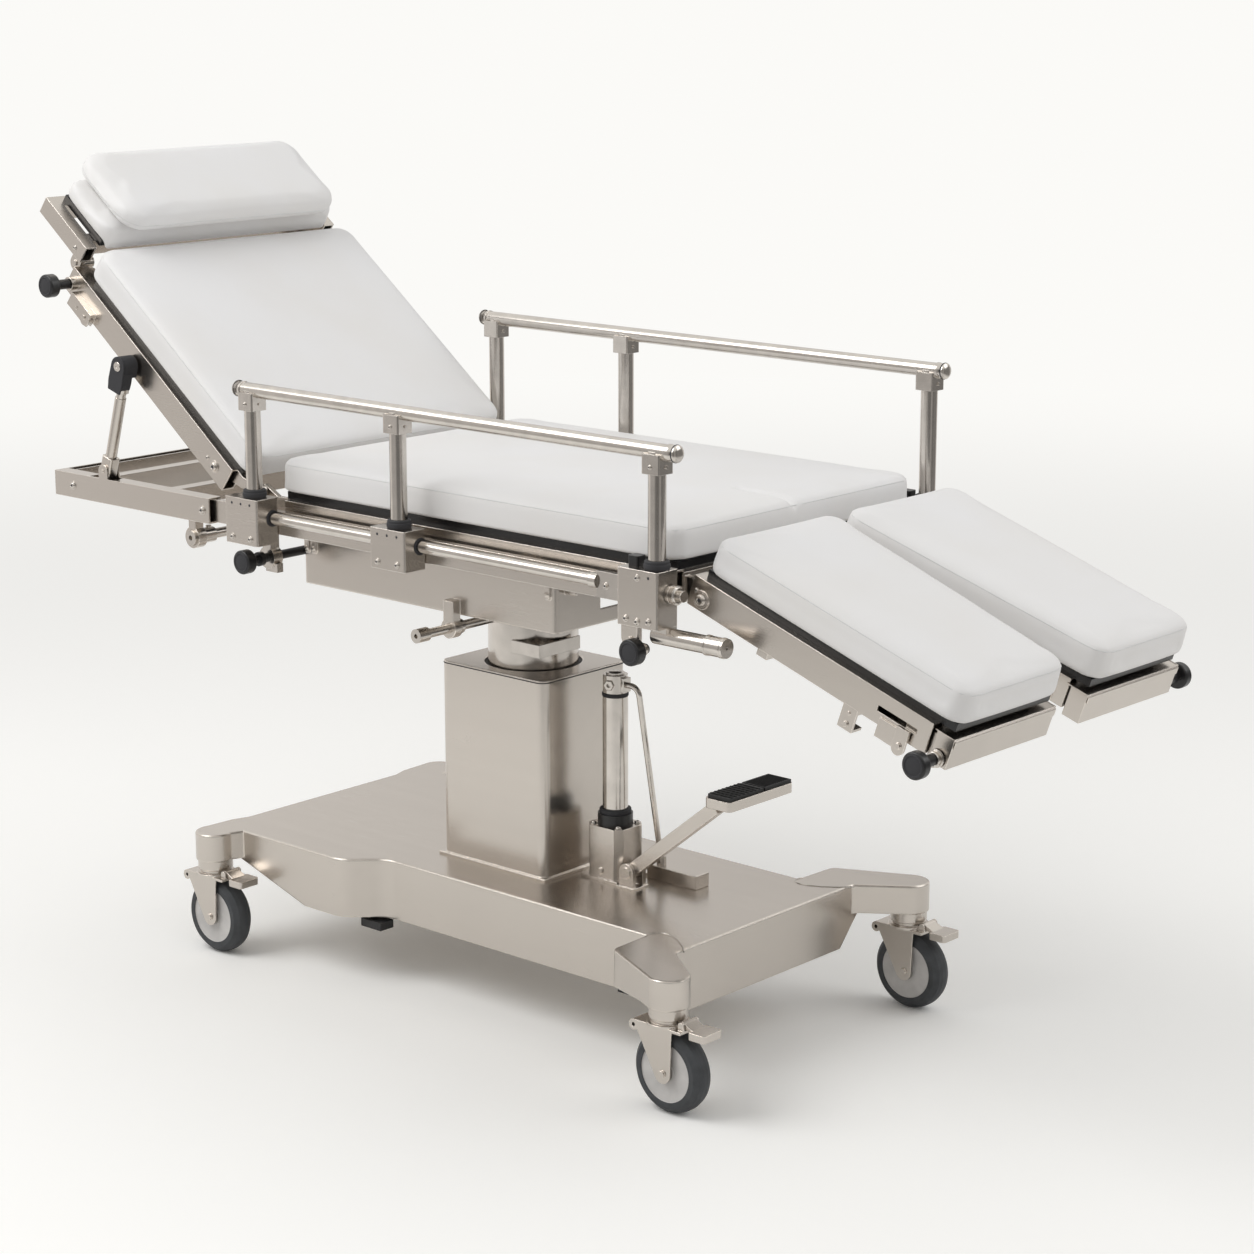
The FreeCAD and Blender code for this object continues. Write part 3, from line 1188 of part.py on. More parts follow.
def pump_housing():
    """The pump's cast housing with cut corners and a foot flange."""
    z = base_top_z
    high = pump_housing_high
    body = box(pump_x - pump_half_x, pump_x + pump_half_x, pump_y - pump_half_y, pump_y + pump_half_y, z, z + high)
    body = body.makeChamfer(11, edges_along(body, V(0, 0, 1)))
    flange = box(pump_x - pump_half_x - 4, pump_x + pump_half_x, pump_y - pump_half_y - 4, pump_y + pump_half_y + 4, z, z + 5)
    bolts = [rod((pump_x + dx, pump_y + dy, z + high), (0, 0, 1), 4, 3) for dx in (-25, 25) for dy in (-22, 22)]
    side_bolt = rod((pump_x - 2, pump_y - pump_half_y, z + 16), (0, -1, 0), 5, 3)
    return joined([body, flange, side_bolt] + bolts)


def pump_collar():
    z = base_top_z + pump_housing_high
    return rod((pump_x, pump_y, z), (0, 0, 1), pump_collar_r, pump_collar_high)


def pump_cylinder():
    """The polished cylinder with a grooved neck and its cap, lug and bolt."""
    z = base_top_z + pump_housing_high + pump_collar_high
    barrel = rod((pump_x, pump_y, z), (0, 0, 1), pump_cylinder_r, pump_cylinder_top_z - z)
    neck = rod((pump_x, pump_y, pump_cylinder_top_z), (0, 0, 1), pump_cap_r - 3, 6)
    cap = rod((pump_x, pump_y, pump_cylinder_top_z + 6), (0, 0, 1), pump_cap_r, pump_cap_high - 9)
    top = rod((pump_x, pump_y, pump_cylinder_top_z + 6), (0, 0, 1), pump_cap_r - 5, pump_cap_high - 6)
    lug_z = pump_cylinder_top_z + 20
    lug = box(pump_x + pump_cap_r - 4, pump_x + pump_cap_r + 5, pump_y - 8, pump_y + 8, lug_z - 11, lug_z + 11)
    return joined([barrel, neck, cap, top, lug])


def pipe_path():
    """The corners of the pipe from the cap's lug down to the valve block."""
    z = pump_cylinder_top_z + 20
    x = pump_x + pump_cap_r + 5
    return [V(x, pump_y, z), V(x + 22, pump_y, z), V(valve_x1 + 17, valve_y1 + 15, base_top_z + valve_high + 2)]


def pump_pipe():
    """The bent pipe: two straight runs, one elbow of constant radius and an end fitting."""
    start, corner, end = pipe_path()
    first = (start - corner).normalize()
    second = (end - corner).normalize()
    half = first.getAngle(second) / 2
    bend_r = 14.0
    back = bend_r / math.tan(half)
    t1, t2 = corner + first * back, corner + second * back
    middle = (first + second).normalize()
    centre = corner + middle * (bend_r / math.sin(half))
    top = centre - middle * bend_r
    path = Part.Wire([Part.LineSegment(start, t1).toShape(), Part.Arc(t1, top, t2).toShape(),
                      Part.LineSegment(t2, end).toShape()])
    profile = Part.Wire(Part.makeCircle(pipe_r, start, start - t1))
    pipe = path.makePipeShell([profile], True, True)
    return joined([pipe, valve_fitting()])


def valve_fitting():
    """The round union where the pipe enters the valve block."""
    end = pipe_path()[2]
    return rod((end.x, end.y, base_top_z + valve_high), (0, 0, 1), pipe_r + 3, 13)


def valve_block():
    block = box(valve_x1, valve_x2, valve_y1, valve_y2, base_top_z, base_top_z + valve_high)
    return block.makeFillet(1.5, block.Edges)


def pedal_bracket():
    """The clevis on the base that carries the pedal's pin."""
    x, z = pedal_pivot
    base_z = base_top_z
    pieces = [box(x - 17.5, x + 17.5, pedal_y - 18, pedal_y + 18, base_z, base_z + 3)]
    half = pedal_arm_thick / 2 + 0.5
    for side in (1, -1):
        y1, y2 = sorted((pedal_y + side * half, pedal_y + side * (half + 7)))
        pieces.append(box(x - pedal_ear_r, x + pedal_ear_r, y1, y2, base_z, z))
        pieces.append(rod((x, y1, z), (0, 1, 0), pedal_ear_r, 7))
    pieces.append(rod((x, pedal_y - half - 9, z), (0, 1, 0), pedal_pin_r, 2 * half + 18))
    pieces.append(rod((x, pedal_y - half - 9, z), (0, 1, 0), pedal_pin_r + 3, 2))
    return joined(pieces)


def pedal_arm():
    """The pedal's lever with its eye, and the cross plate at its end."""
    x, z = pedal_pivot
    tx, tz = pedal_plate_x1 + 20, pedal_plate_low_z + 2
    length = math.hypot(tx - x, tz - z)
    angle = math.degrees(math.atan2(tz - z, tx - x))
    half_y, half_z = pedal_arm_thick / 2, pedal_arm_high / 2
    bar = box(0, length, -half_y, half_y, -half_z, half_z)
    bar.rotate(V(0, 0, 0), V(0, 1, 0), -angle)
    bar.translate(V(x, pedal_y, z))
    trim = box(pedal_plate_x1 - 40, pedal_plate_x1 + 90, pedal_y - 20, pedal_y + 20, pedal_plate_low_z + 4, pedal_plate_low_z + 150)
    bar = bar.cut(trim)
    eye = rod((x, pedal_y - half_y, z), (0, 1, 0), pedal_ear_r - 2, pedal_arm_thick)
    plate = box(pedal_plate_x1, pedal_plate_x1 + pedal_plate_wide, pedal_plate_y1, pedal_plate_y1 + pedal_plate_long,
                pedal_plate_low_z, pedal_plate_low_z + pedal_plate_thick)
    plate = plate.makeFillet(8, edges_along(plate, V(0, 0, 1)))
    body = joined([bar, eye, plate])
    return body.cut(rod((x, pedal_y - 20, z), (0, 1, 0), pedal_pin_r + pin_gap, 40))


def pedal_rubber():
    """The ribbed rubber tread in two parts on the pedal's plate."""
    z = pedal_plate_low_z + pedal_plate_thick
    x1, x2 = pedal_plate_x1 + 3, pedal_plate_x1 + pedal_plate_wide - 3
    y1 = pedal_plate_y1 + 3
    y3 = pedal_plate_y1 + pedal_plate_long - 3
    y2 = y1 + 0.56 * (y3 - y1)
    near = box(x1, x2, y1, y2 - 1.5, z, z + pedal_rubber_thick)
    far = box(x1, x2, y2 + 1.5, y3, z, z + pedal_rubber_thick)
    near = near.makeFillet(5, edges_along(near, V(0, 0, 1))[:2])
    grooves = []
    pitch = 9.0
    y = y1 + pitch
    while y < y2 - pitch:
        grooves.append(box(x1 + 6, x2 - 6, y, y + 2.5, z + pedal_rubber_thick - 1.5, z + pedal_rubber_thick + 1))
        y += pitch
    return Part.makeCompound([near.cut(Part.makeCompound(grooves)), far])


def build():
    """Every sub-part by name."""
    parts = {
        "base_cover": Part.makeCompound([base_cover(), bearing_rings(), chassis_plate()]),
        "floor_pads": floor_pads(),
        "column_cover": column_cover(),
        "column_seal": column_seal(),
        "pump_housing": pump_housing(),
        "pump_collar": pump_collar(),
        "pump_cylinder": pump_cylinder(),
        "pump_pipe": pump_pipe(),
        "valve_block": valve_block(),
        "pedal_bracket": pedal_bracket(),
        "pedal_arm": pedal_arm(),
        "pedal_rubber": pedal_rubber(),
        "inner_column": inner_column(),
        "tilt_cross": tilt_cross(),
        "apron": apron(),
        "seat_frame": seat_frame(),
        "support_frame": support_frame(),
        "accessory_tubes": Part.makeCompound([accessory_tubes(), lock_ring()]),
        "clamp_blocks_near": clamp_blocks(-1, near_blocks, near_posts),
        "clamp_blocks_far": clamp_blocks(1, far_blocks, far_posts),
        "post_collars": post_collars(),
        "seat_board": seat_board(),
        "seat_pad": seat_pad(),
        "tilt_lock_shaft": tilt_lock_shaft(),
        "lock_knob": lock_knob(),
        "clamp_knob_near": clamp_knob(-1),
        "clamp_knob_far": clamp_knob(1),
        "back_frame": back_frame(),
        "back_board": back_board(),
        "back_pad": back_pad(),
        "head_knob": head_knob(),
        "strut_tube": strut_tube(),
        "strut_rod": strut_rod(),
        "head_rods": head_rods(),
        "head_frame": head_frame(),
        "head_board": head_board(),
        "head_pad_lower": head_pad_lower(),
        "head_pad_upper": head_pad_upper(),
        "hand_rail_near": hand_rail(-1, near_posts, near_rail_ends, 0),
        "hand_rail_far": hand_rail(1, far_posts, far_rail_ends, far_rail_lift),
    }
    for name, side in (("near", -1), ("far", 1)):
        parts[f"leg_frame_{name}"] = leg_frame(side)
        parts[f"leg_board_{name}"] = leg_board(side)
        parts[f"leg_pad_{name}"] = leg_pad(side)
        parts[f"leg_knob_{name}"] = leg_knob(side)
    for name, x, y in caster_places():
        parts[f"caster_fork_{name}"] = joined([caster_fork(x, y)] + brake_mounts(x, y))
        parts[f"caster_wheel_{name}"] = caster_wheel(x, y)
        parts[f"caster_brake_{name}"] = caster_brake(x, y)
    return parts


def export_all():
    os.makedirs("parts", exist_ok=True)
    for name, shape in build().items():
        placed = shape.copy()
        placed.translate(V(column_to_origin, 0, 0))
        placed.exportStep(f"parts/{name}.step")


export_all()
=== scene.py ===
import json
import math
from collections import namedtuple

import bmesh
import bpy
from bpy.props import FloatProperty, FloatVectorProperty, IntProperty, PointerProperty
from mathutils import Matrix, Vector
from mathutils.bvhtree import BVHTree


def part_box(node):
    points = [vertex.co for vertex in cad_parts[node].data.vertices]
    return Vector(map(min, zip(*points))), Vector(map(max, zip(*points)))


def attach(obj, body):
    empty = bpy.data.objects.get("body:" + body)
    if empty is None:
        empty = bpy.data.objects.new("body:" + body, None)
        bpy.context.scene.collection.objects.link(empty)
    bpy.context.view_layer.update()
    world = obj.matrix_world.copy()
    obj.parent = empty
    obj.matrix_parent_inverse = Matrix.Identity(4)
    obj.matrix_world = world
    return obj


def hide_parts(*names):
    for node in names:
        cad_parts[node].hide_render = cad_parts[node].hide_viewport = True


bl_info = {
    "name": "Operating table",
    "version": (1, 0, 0),
    "blender": (4, 5, 0),
    "location": "3D View > Sidebar > Operating table",
    "description": "Dresses a jointed operating table with cushions, fasteners and metal finishes",
    "category": "Add Mesh",
}

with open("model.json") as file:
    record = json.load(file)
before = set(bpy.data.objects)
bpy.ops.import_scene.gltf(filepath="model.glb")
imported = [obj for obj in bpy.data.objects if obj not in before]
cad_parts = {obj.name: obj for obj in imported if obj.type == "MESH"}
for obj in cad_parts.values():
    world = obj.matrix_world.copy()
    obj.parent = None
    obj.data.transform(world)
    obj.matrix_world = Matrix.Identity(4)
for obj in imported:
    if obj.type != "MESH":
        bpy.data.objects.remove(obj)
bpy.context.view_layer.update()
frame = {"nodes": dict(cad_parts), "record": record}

MM = 0.001
TABLE_SHIFT = -86.47
SIDES = (("near", -1), ("far", 1))

# Sections: angle in degrees, hinge corner (x, z) in millimetres
BACK_ANGLE, BACK_CORNER = 37.8, (-314.0, 836.0)
LEG_ANGLE, LEG_CORNER = 19.0, (586.0, 832.0)

# Stage and camera: metres, degrees; the camera's place in millimetres
FLOOR_HALF = 16.0
FLOOR_FADE = (1.3, 6.5)
ROOM_FADE = (1.7, 3.4)
HORIZON_FADE = (0.30, 0.52)
ROOM_TINT = (1.0, 0.97, 0.94, 1.0)
BLACK = (0.0, 0.0, 0.0, 1.0)
FILL_SHARE = 0.45
LENS, SENSOR, CLIP = 85.369, 36.0, (0.1, 60.0)
CAMERA_PLACE, CAMERA_AROUND, CAMERA_ABOVE = (3079.9, -3242.5, 1612.1), 41.6718, 13.1841

# What polished metal mirrors: the side (x, y) it lies on, and where it starts and is full
WINDOW = ((-1.0, 0.05), (0.55, 0.90))
FLAG = ((0.68, -0.73), (0.84, 0.96))
DOORWAY = ((0.62, 0.78), (0.72, 0.93))
POST = ((0.994, 0.116), (0.955, 0.985))
STRIP = ((0.023, 1.0), (0.93, 0.98))
WINDOW_LEVEL, STRIP_GAIN = 0.95, 0.45
FLAG_DIM, DOORWAY_DIM, POST_DIM = 0.62, 0.50, 0.55

# Finishes
SLOT_FINISH = {"polished": "polished_steel", "stainless": "stainless_x", "black_plastic": "black_plastic",
               "rubber": "rubber"}
PRESSED_SHEETS, UPRIGHT_TUBES = {"base_cover", "column_cover", "apron"}, {"inner_column"}
EDGE_FADE = (0.004, 0.10)
HUB_COLOUR = (0.50, 0.49, 0.47, 1.0)
HUB_RADIUS, DISC_RADIUS, GROOVE_Y = 0.0145, 0.0435, 0.0078
MIX_FACTOR, MIX_FIRST, MIX_SECOND, MIX_RESULT = 0, 6, 7, 2

# Cushions: places in millimetres, then what is done to their meshes in metres
SEAT_LOW, SEAT_TOP, PAD_LOW = 781.4, 836.0, -54.6
SEAM_DROP, COVER_INSET = 12.0, 2.0
HEAD_LIP = (-497.4, -486.0, 246.0, -28.0)
SLIT_Y, SLIT_START = -12.0, 412.0
CROWN, CROWN_SINK, CROWN_DEPTH = 0.0022, 0.0035, 0.02
SLIT_DEEP, SLIT_WIDE, SLIT_RAMP = 0.012, 0.004, 0.012
SEAM_STEP = 0.012

# Fittings, in millimetres
NEAR_BLOCKS, FAR_BLOCKS = (-290.0, 27.5, 508.5), (-364.0, -91.0, 497.0)
NEAR_POSTS, FAR_POSTS = (-281.0, 32.0, 526.0), (-377.0, -87.0, 514.0)
BLOCK_LOW, BLOCK_HIGH, BLOCK_HALF = (707.0, 712.0, 702.0), (71.0, 60.0, 79.0), 36.0
BLOCK_FACE, POST_Y, SIDE_ROD_Y, SIDE_ROD_Z = 334.0, 313.0, 302.0, 747.0
BLOCK_PITCH, HOLE_DROP = 20.0, 9.0
RAIL_Z = {"near": 941.0, "far": 981.0}
RAIL_ENDS = {"near": (-311.0, 561.0), "far": (-405.0, 542.0)}
FOOT_TUBE_END, FOOT_TUBE_Y, FOOT_TUBE_Z = 132.0, 303.0, 688.0
SUPPORT_BOLTS = (-739.0, -420.0)
LEG_HINGE, BACK_HINGE, HEAD_BOLT = (13.6, -94.7), (-64.0, -92.0), (-517.0, -44.0)
PUMP, PUMP_BOLTS = (172.0, -2.0), (25.0, 22.0)
PUMP_LEVELS = {"bolts": 285.0, "step": 303.0, "neck": 486.2, "nut": 506.0, "cap": 519.5}
STRUT_FOOT, STRUT_HEAD, STRUT_Y = (-661.0, 770.0), (-608.0, 944.0), -287.5
FORK_FACE, FORK_BACK, FORK_PLATE = -17.4, 12.0, 3.0
LEG_END_Y = (39.0, 265.0)
COLUMN_HALF, COLUMN_CORNER = (109.3, 94.3), 14.0
FOOT_SEAM = ((392.0, 182.0), (389.0, 170.0), (394.0, 160.0), (405.0, 155.0), (420.0, 157.0), (440.0, 166.0),
             (462.0, 182.0), (478.0, 198.0))
BASE_TOP = 200.1
TREAD_X, TREAD_LOW, TREAD_STEP = (379.0, 417.0), 376.6, 4.8


class Value:
    """A shader socket that can stand in sums and products."""

    def __init__(self, tree, socket):
        self.tree = tree
        self.socket = socket

    def _math(self, operation, other, turned=False):
        node = self.tree.nodes.new("ShaderNodeMath")
        node.operation = operation
        pair = (other, self) if turned else (self, other)
        for slot, value in zip(node.inputs, pair):
            if isinstance(value, Value):
                self.tree.links.new(value.socket, slot)
            else:
                slot.default_value = value
        return Value(self.tree, node.outputs[0])

    def __add__(self, other):
        return self._math("ADD", other)

    __radd__ = __add__

    def __mul__(self, other):
        return self._math("MULTIPLY", other)

    __rmul__ = __mul__

    def __sub__(self, other):
        return self._math("SUBTRACT", other)

    def __rsub__(self, other):
        return self._math("SUBTRACT", other, turned=True)

    def above(self, limit):
        return self._math("GREATER_THAN", limit)

    def below(self, limit):
        return self._math("LESS_THAN", limit)

    def clipped(self):
        return self._math("MAXIMUM", 0.0)._math("MINIMUM", 1.0)


class Network:
    """Adds nodes to one node tree."""

    def __init__(self, tree):
        self.tree = tree

    def node(self, kind, settings=None, sockets=None, output=0):
        """One node: its settings first, then the values or links of its sockets."""
        made = self.tree.nodes.new(kind)
        for key, value in (settings or {}).items():
            setattr(made, key, value)
        for key, value in (sockets or {}).items():
            if isinstance(value, Value):
                self.tree.links.new(value.socket, made.inputs[key])
            else:
                made.inputs[key].default_value = value
        return Value(self.tree, made.outputs[output])

    def ray(self, kind):
        """1 for rays of one kind, 0 for the others."""
        return self.node("ShaderNodeLightPath", output=f"Is {kind} Ray")

    def place(self):
        """The point on the piece, in metres, in the piece's own frame."""
        return self.node("ShaderNodeTexCoord", output="Object")

    def vector(self, operation, *inputs, output="Vector"):
        """One step of vector arithmetic."""
        return self.node("ShaderNodeVectorMath", {"operation": operation}, dict(enumerate(inputs)), output)

    def along(self, vector, scale):
        """The vector with each axis scaled by its own factor."""
        return self.vector("MULTIPLY", vector, scale)

    def noise(self, vector, scale, detail=3.0, roughness=0.5):
        sockets = {"Vector": vector, "Scale": scale, "Detail": detail, "Roughness": roughness}
        return self.node("ShaderNodeTexNoise", None, sockets)

    def colour(self, factor, first, second):
        sockets = {MIX_FACTOR: factor, MIX_FIRST: first, MIX_SECOND: second}
        return self.node("ShaderNodeMix", {"data_type": "RGBA"}, sockets, MIX_RESULT)

    def ramp(self, value, low, high):
        """0 below low, 1 above high, even between."""
        sockets = {"Value": value, "From Min": low, "From Max": high, "To Min": 0.0, "To Max": 1.0}
        return self.node("ShaderNodeMapRange", {"clamp": True}, sockets)

    def axis(self, vector, name):
        return self.node("ShaderNodeSeparateXYZ", None, {0: vector}, name)

    def distance(self, vector, centre, keep):
        """Distance from a centre over the axes that are kept."""
        away = self.along(self.vector("SUBTRACT", vector, centre), keep)
        return self.vector("LENGTH", away, output="Value")

    def room(self, way, shade):
        """Brightness of the studio that polished metal mirrors, by the side that it lies on."""
        flat = self.vector("NORMALIZE", self.along(way, (1.0, 1.0, 0.0)))

        def seen(thing):
            (x, y), fade = thing
            return self.ramp(self.vector("DOT_PRODUCT", flat, (x, y, 0.0), output="Value"), *fade)
        mirrored = shade + (WINDOW_LEVEL - shade) * seen(WINDOW)
        for thing, dim in ((FLAG, FLAG_DIM), (DOORWAY, DOORWAY_DIM), (POST, POST_DIM)):
            mirrored = mirrored * (1.0 - dim * seen(thing))
        return mirrored + STRIP_GAIN * seen(STRIP)


class Finish(Network):
    """A material with one Principled shader."""

    def __init__(self, name):
        self.material = bpy.data.materials.new(name)
        self.material.use_nodes = True
        super().__init__(self.material.node_tree)
        self.shader = next(n for n in self.tree.nodes if n.type == "BSDF_PRINCIPLED")

    def wire(self, **sockets):
        for key, value in sockets.items():
            slot = self.shader.inputs[key.replace("_", " ")]
            if isinstance(value, Value):
                self.tree.links.new(value.socket, slot)
            else:
                slot.default_value = value
        return self.material

    def bump(self, height, strength, distance, normal=None):
        sockets = {"Height": height, "Strength": strength, "Distance": distance}
        if normal is not None:
            sockets["Normal"] = normal
        return self.node("ShaderNodeBump", None, sockets)

    def soft_edge(self, radius):
        """The normal with its edges rounded, and a mask of those edges."""
        normal = self.node("ShaderNodeBevel", {"samples": 4}, {"Radius": radius})
        flat = self.node("ShaderNodeNewGeometry", output="Normal")
        same = self.vector("DOT_PRODUCT", normal, flat, output="Value")
        return normal, self.ramp(1.0 - same, *EDGE_FADE)


def tinted(colour, factor=1.0, lift=0.0):
    """A colour made darker or paler, with its alpha."""
    return tuple(min(1.0, factor * c + lift) for c in colour) + (1.0,)


def steel(name, brush, look, rim=0.0014):
    """Brushed stainless: fine streaks along one axis, uneven grain, and a painted highlight that makes the colour
    paler along the edges.
    """
    f = Finish(name)
    place = f.place()
    along, across = 3.0, 200.0
    stretch = tuple(along if axis == brush else across for axis in "XYZ")
    streaks = f.noise(f.along(place, stretch), 6.0, 3.0, 0.6)
    bands = f.noise(f.along(place, tuple(0.10 * s for s in stretch)), 2.0, 2.0)
    cloud = f.noise(place, 5.0, 3.0)
    normal, edge = f.soft_edge(rim)
    tone = (0.40 * streaks + 0.35 * bands + 0.35 * cloud).clipped()
    dark, base, pale = (tinted(look.steel_colour, factor) for factor in (0.93, 1.0, 1.50))
    # Painted highlight: the edge mask mixes the colour towards its paler copy along every edge.
    colour = f.colour(edge, f.colour(f.ramp(tone, 0.36, 0.74), dark, base), pale)
    rough = look.steel_roughness - 0.05 + 0.07 * streaks + 0.06 * cloud - 0.10 * edge
    return f.wire(Base_Color=colour, Metallic=1.0, Roughness=rough, Normal=f.bump(streaks, 0.04, 0.0001, normal))


def chrome(name, look):
    """Polished tube with a little cloudiness and very fine draw marks."""
    f = Finish(name)
    place = f.place()
    cloud = f.noise(place, 40.0, 4.0)
    marks = f.noise(f.along(place, (30.0, 300.0, 300.0)), 3.0, 2.0)
    normal, edge = f.soft_edge(0.0009)
    base, dull = (tinted(look.chrome_colour, factor) for factor in (1.0, 0.86))
    colour = f.colour(f.ramp(cloud, 0.35, 0.75), base, dull)
    rough = look.chrome_roughness + 0.08 * cloud + 0.04 * marks - 0.03 * edge
    return f.wire(Base_Color=colour, Metallic=1.0, Roughness=rough, Normal=f.bump(marks, 0.05, 0.0001, normal))


def plastic(name, colour, roughness, grain=900.0):
    """Moulded plastic or rubber with a fine pebbled skin, edges made paler as a painted highlight, and random paler
    smears of wear.
    """
    f = Finish(name)
    place = f.place()
    pebble = f.noise(place, grain, 2.0)
    smear = f.noise(place, 25.0, 4.0)
    normal, edge = f.soft_edge(0.0012)
    # Partly painted highlight, partly wear: the edge mask makes the edges paler, and the smear noise adds random worn
    # patches.
    wear_and_edge_highlight = (0.45 * edge + 0.25 * f.ramp(smear, 0.5, 0.8)).clipped()
    tone = f.colour(wear_and_edge_highlight, tinted(colour), tinted(colour, 1.9, 0.012))
    rough = roughness + 0.14 * smear - 0.05
    return f.wire(Base_Color=tone, Roughness=rough, Normal=f.bump(pebble, 0.25, 0.0003, normal))


def vinyl(name, look):
    """White coated fabric: fine leather grain, soft waves, a faint sheen and slight tone changes."""
    f = Finish(name)
    place = f.place()
    cells = f.node("ShaderNodeTexVoronoi", {"feature": "DISTANCE_TO_EDGE"}, {"Vector": place, "Scale": 520.0})
    grain = f.ramp(cells, 0.0, 0.22)
    pores = f.noise(place, 1500.0, 2.0)
    waves = f.noise(place, 9.0, 2.0)
    tone = f.ramp(f.noise(place, 5.0, 3.0), 0.35, 0.7)
    warm = tinted(c * k for c, k in zip(look.vinyl_colour, (0.975, 0.965, 0.945)))
    normal = f.bump(0.7 * grain + 0.3 * pores, 0.16, 0.0004, f.bump(waves, 0.25, 0.004))
    return f.wire(Base_Color=f.colour(tone, tinted(look.vinyl_colour), warm),
                  Roughness=0.40 + 0.10 * pores + 0.05 * waves, Sheen_Weight=0.08, Sheen_Roughness=0.4, Normal=normal)


def wheel_finish(name, centre, look):
    """Dark tyre round a pale plastic disc, told apart by the distance from the axle."""
    f = Finish(name)
    place = f.place()
    reach = f.distance(place, centre, (1.0, 0.0, 1.0))
    tyre = reach.above(DISC_RADIUS)
    hub = reach.below(HUB_RADIUS)
    smear = f.noise(place, 30.0, 4.0)
    pebble = f.noise(place, 1100.0, 2.0)
    groove = f.node("ShaderNodeMath", {"operation": "ABSOLUTE"}, {0: f.axis(place, "Y") - centre[1]})
    line = f.ramp(groove, 0.0008, 0.0016) * f.ramp(8.0 * (GROOVE_Y - groove), -1.0, 1.0)
    rubber = f.colour(f.ramp(smear, 0.4, 0.75), tinted(look.tyre_colour), tinted(look.tyre_colour, 1.5, 0.01))
    disc = f.colour(f.ramp(smear, 0.3, 0.8), tinted(look.disc_colour), tinted(look.disc_colour, 0.72))
    disc = f.colour(hub, disc, HUB_COLOUR)
    normal, edge = f.soft_edge(0.0015)
    rough = 0.36 + 0.22 * tyre + 0.1 * smear - 0.04 * edge
    return f.wire(Base_Color=f.colour(tyre, disc, rubber), Roughness=rough, Metallic=0.6 * hub,
                  Normal=f.bump(pebble + 0.6 * line, 0.2, 0.0003, normal))


def tint(name, description, default):
    """A colour in a group of settings."""
    return FloatVectorProperty(name=name, description=description, subtype="COLOR", default=default, min=0.0, max=1.0)


def number(name, description, default, low, high, **more):
    """A number in a group of settings."""
    return FloatProperty(name=name, description=description, default=default, min=low, max=high, **more)


class MetalLook(bpy.types.PropertyGroup):
    steel_colour: tint("Stainless", "Colour of the brushed stainless steel", (0.605, 0.560, 0.512))
    steel_roughness: number("Stainless roughness", "How matt the brushed steel is", 0.24, 0.05, 0.8)
    chrome_colour: tint("Polished", "Colour of the polished tubes", (0.64, 0.60, 0.555))
    chrome_roughness: number("Polished roughness", "How matt the polished tubes are", 0.13, 0.02, 0.6)


class SoftLook(bpy.types.PropertyGroup):
    vinyl_colour: tint("Cushion cover", "Colour of the white coated fabric", (0.845, 0.838, 0.835))
    tyre_colour: tint("Tyre", "Colour of the wheel rubber", (0.040, 0.043, 0.047))
    disc_colour: tint("Wheel disc", "Colour of the plastic wheel disc", (0.66, 0.64, 0.62))


class CushionSizes(bpy.types.PropertyGroup):
    voxel: number("Mesh size", "Edge length of the cushion mesh", 0.006, 0.003, 0.02, unit="LENGTH", precision=4)
    swell: number("Swell", "Most that the filling may push the cover out", 0.0028, 0.0, 0.02, unit="LENGTH",
                  precision=4)
    pressure: number("Pressure", "Pressure of the filling in the cloth simulation", 4.0, 0.0, 20.0)
    frames: IntProperty(name="Frames", description="Length of the cloth simulation", default=20, min=2, max=60)
    seam_radius: number("Seam", "Radius of the sewn seam line", 0.0008, 0.0003, 0.004, unit="LENGTH", precision=4)


class StageLook(bpy.types.PropertyGroup):
    floor_colour: tint("Floor", "Colour of the floor", (0.78, 0.765, 0.74))
    wall_colour: tint("Background", "Colour seen behind the table", (0.965, 0.957, 0.932))
    floor_lift: number("Floor lift", "How much paler the camera sees the floor than it is", 0.13, 0.0, 1.0)
    room_shade: number("Room", "Brightness of the room that the steel mirrors beyond the floor", 0.50, 0.0, 1.0)
    ambient: number("Ambient", "Strength of the soft light from all round", 0.57, 0.0, 3.0)
    key: number("Key lamp", "Power of the large lamp overhead", 66.0, 0.0, 2000.0, unit="POWER")


LOOKS = {"table_metal": MetalLook, "table_soft": SoftLook, "table_cushions": CushionSizes, "table_stage": StageLook}


def placed(angle, corner):
    """The matrix that takes a section drawn flat, in millimetres, to its place in metres."""
    turn = Matrix.Rotation(math.radians(angle), 4, "Y")
    move = Matrix.Translation((corner[0] + TABLE_SHIFT, 0.0, corner[1]))
    return Matrix.Scale(MM, 4) @ move @ turn


LEVEL = placed(0.0, (0.0, 0.0))
ON_BACK = placed(BACK_ANGLE, BACK_CORNER)
ON_LEGS = placed(LEG_ANGLE, LEG_CORNER)

# One cushion: its CAD node and body, the block it starts from in its section's millimetres,
# the heights of its seams, a groove cut into its mesh and a lip (x1, x2, half width, z) below it
Pad = namedtuple("Pad", "name node body outline low high place plan_r top_r seams groove lip", defaults=(None, None))


def link(piece):
    """Puts an object in the scene and hands it back."""
    bpy.context.scene.collection.objects.link(piece)
    return piece


def new_piece(name, mesh, body, slot, material=None):
    """A mesh object that rides on a body, in its slot's finish unless another is given."""
    piece = link(bpy.data.objects.new(name, mesh))
    mesh.materials.append(material or bpy.data.materials[SLOT_FINISH[slot]])
    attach(piece, body)


def mesh_from(maker, name):
    """A mesh filled by a function that gets a bmesh."""
    shape = bmesh.new()
    maker(shape)
    bmesh.ops.recalc_face_normals(shape, faces=shape.faces)
    mesh = bpy.data.meshes.new(name)
    shape.to_mesh(mesh)
    shape.free()
    return mesh


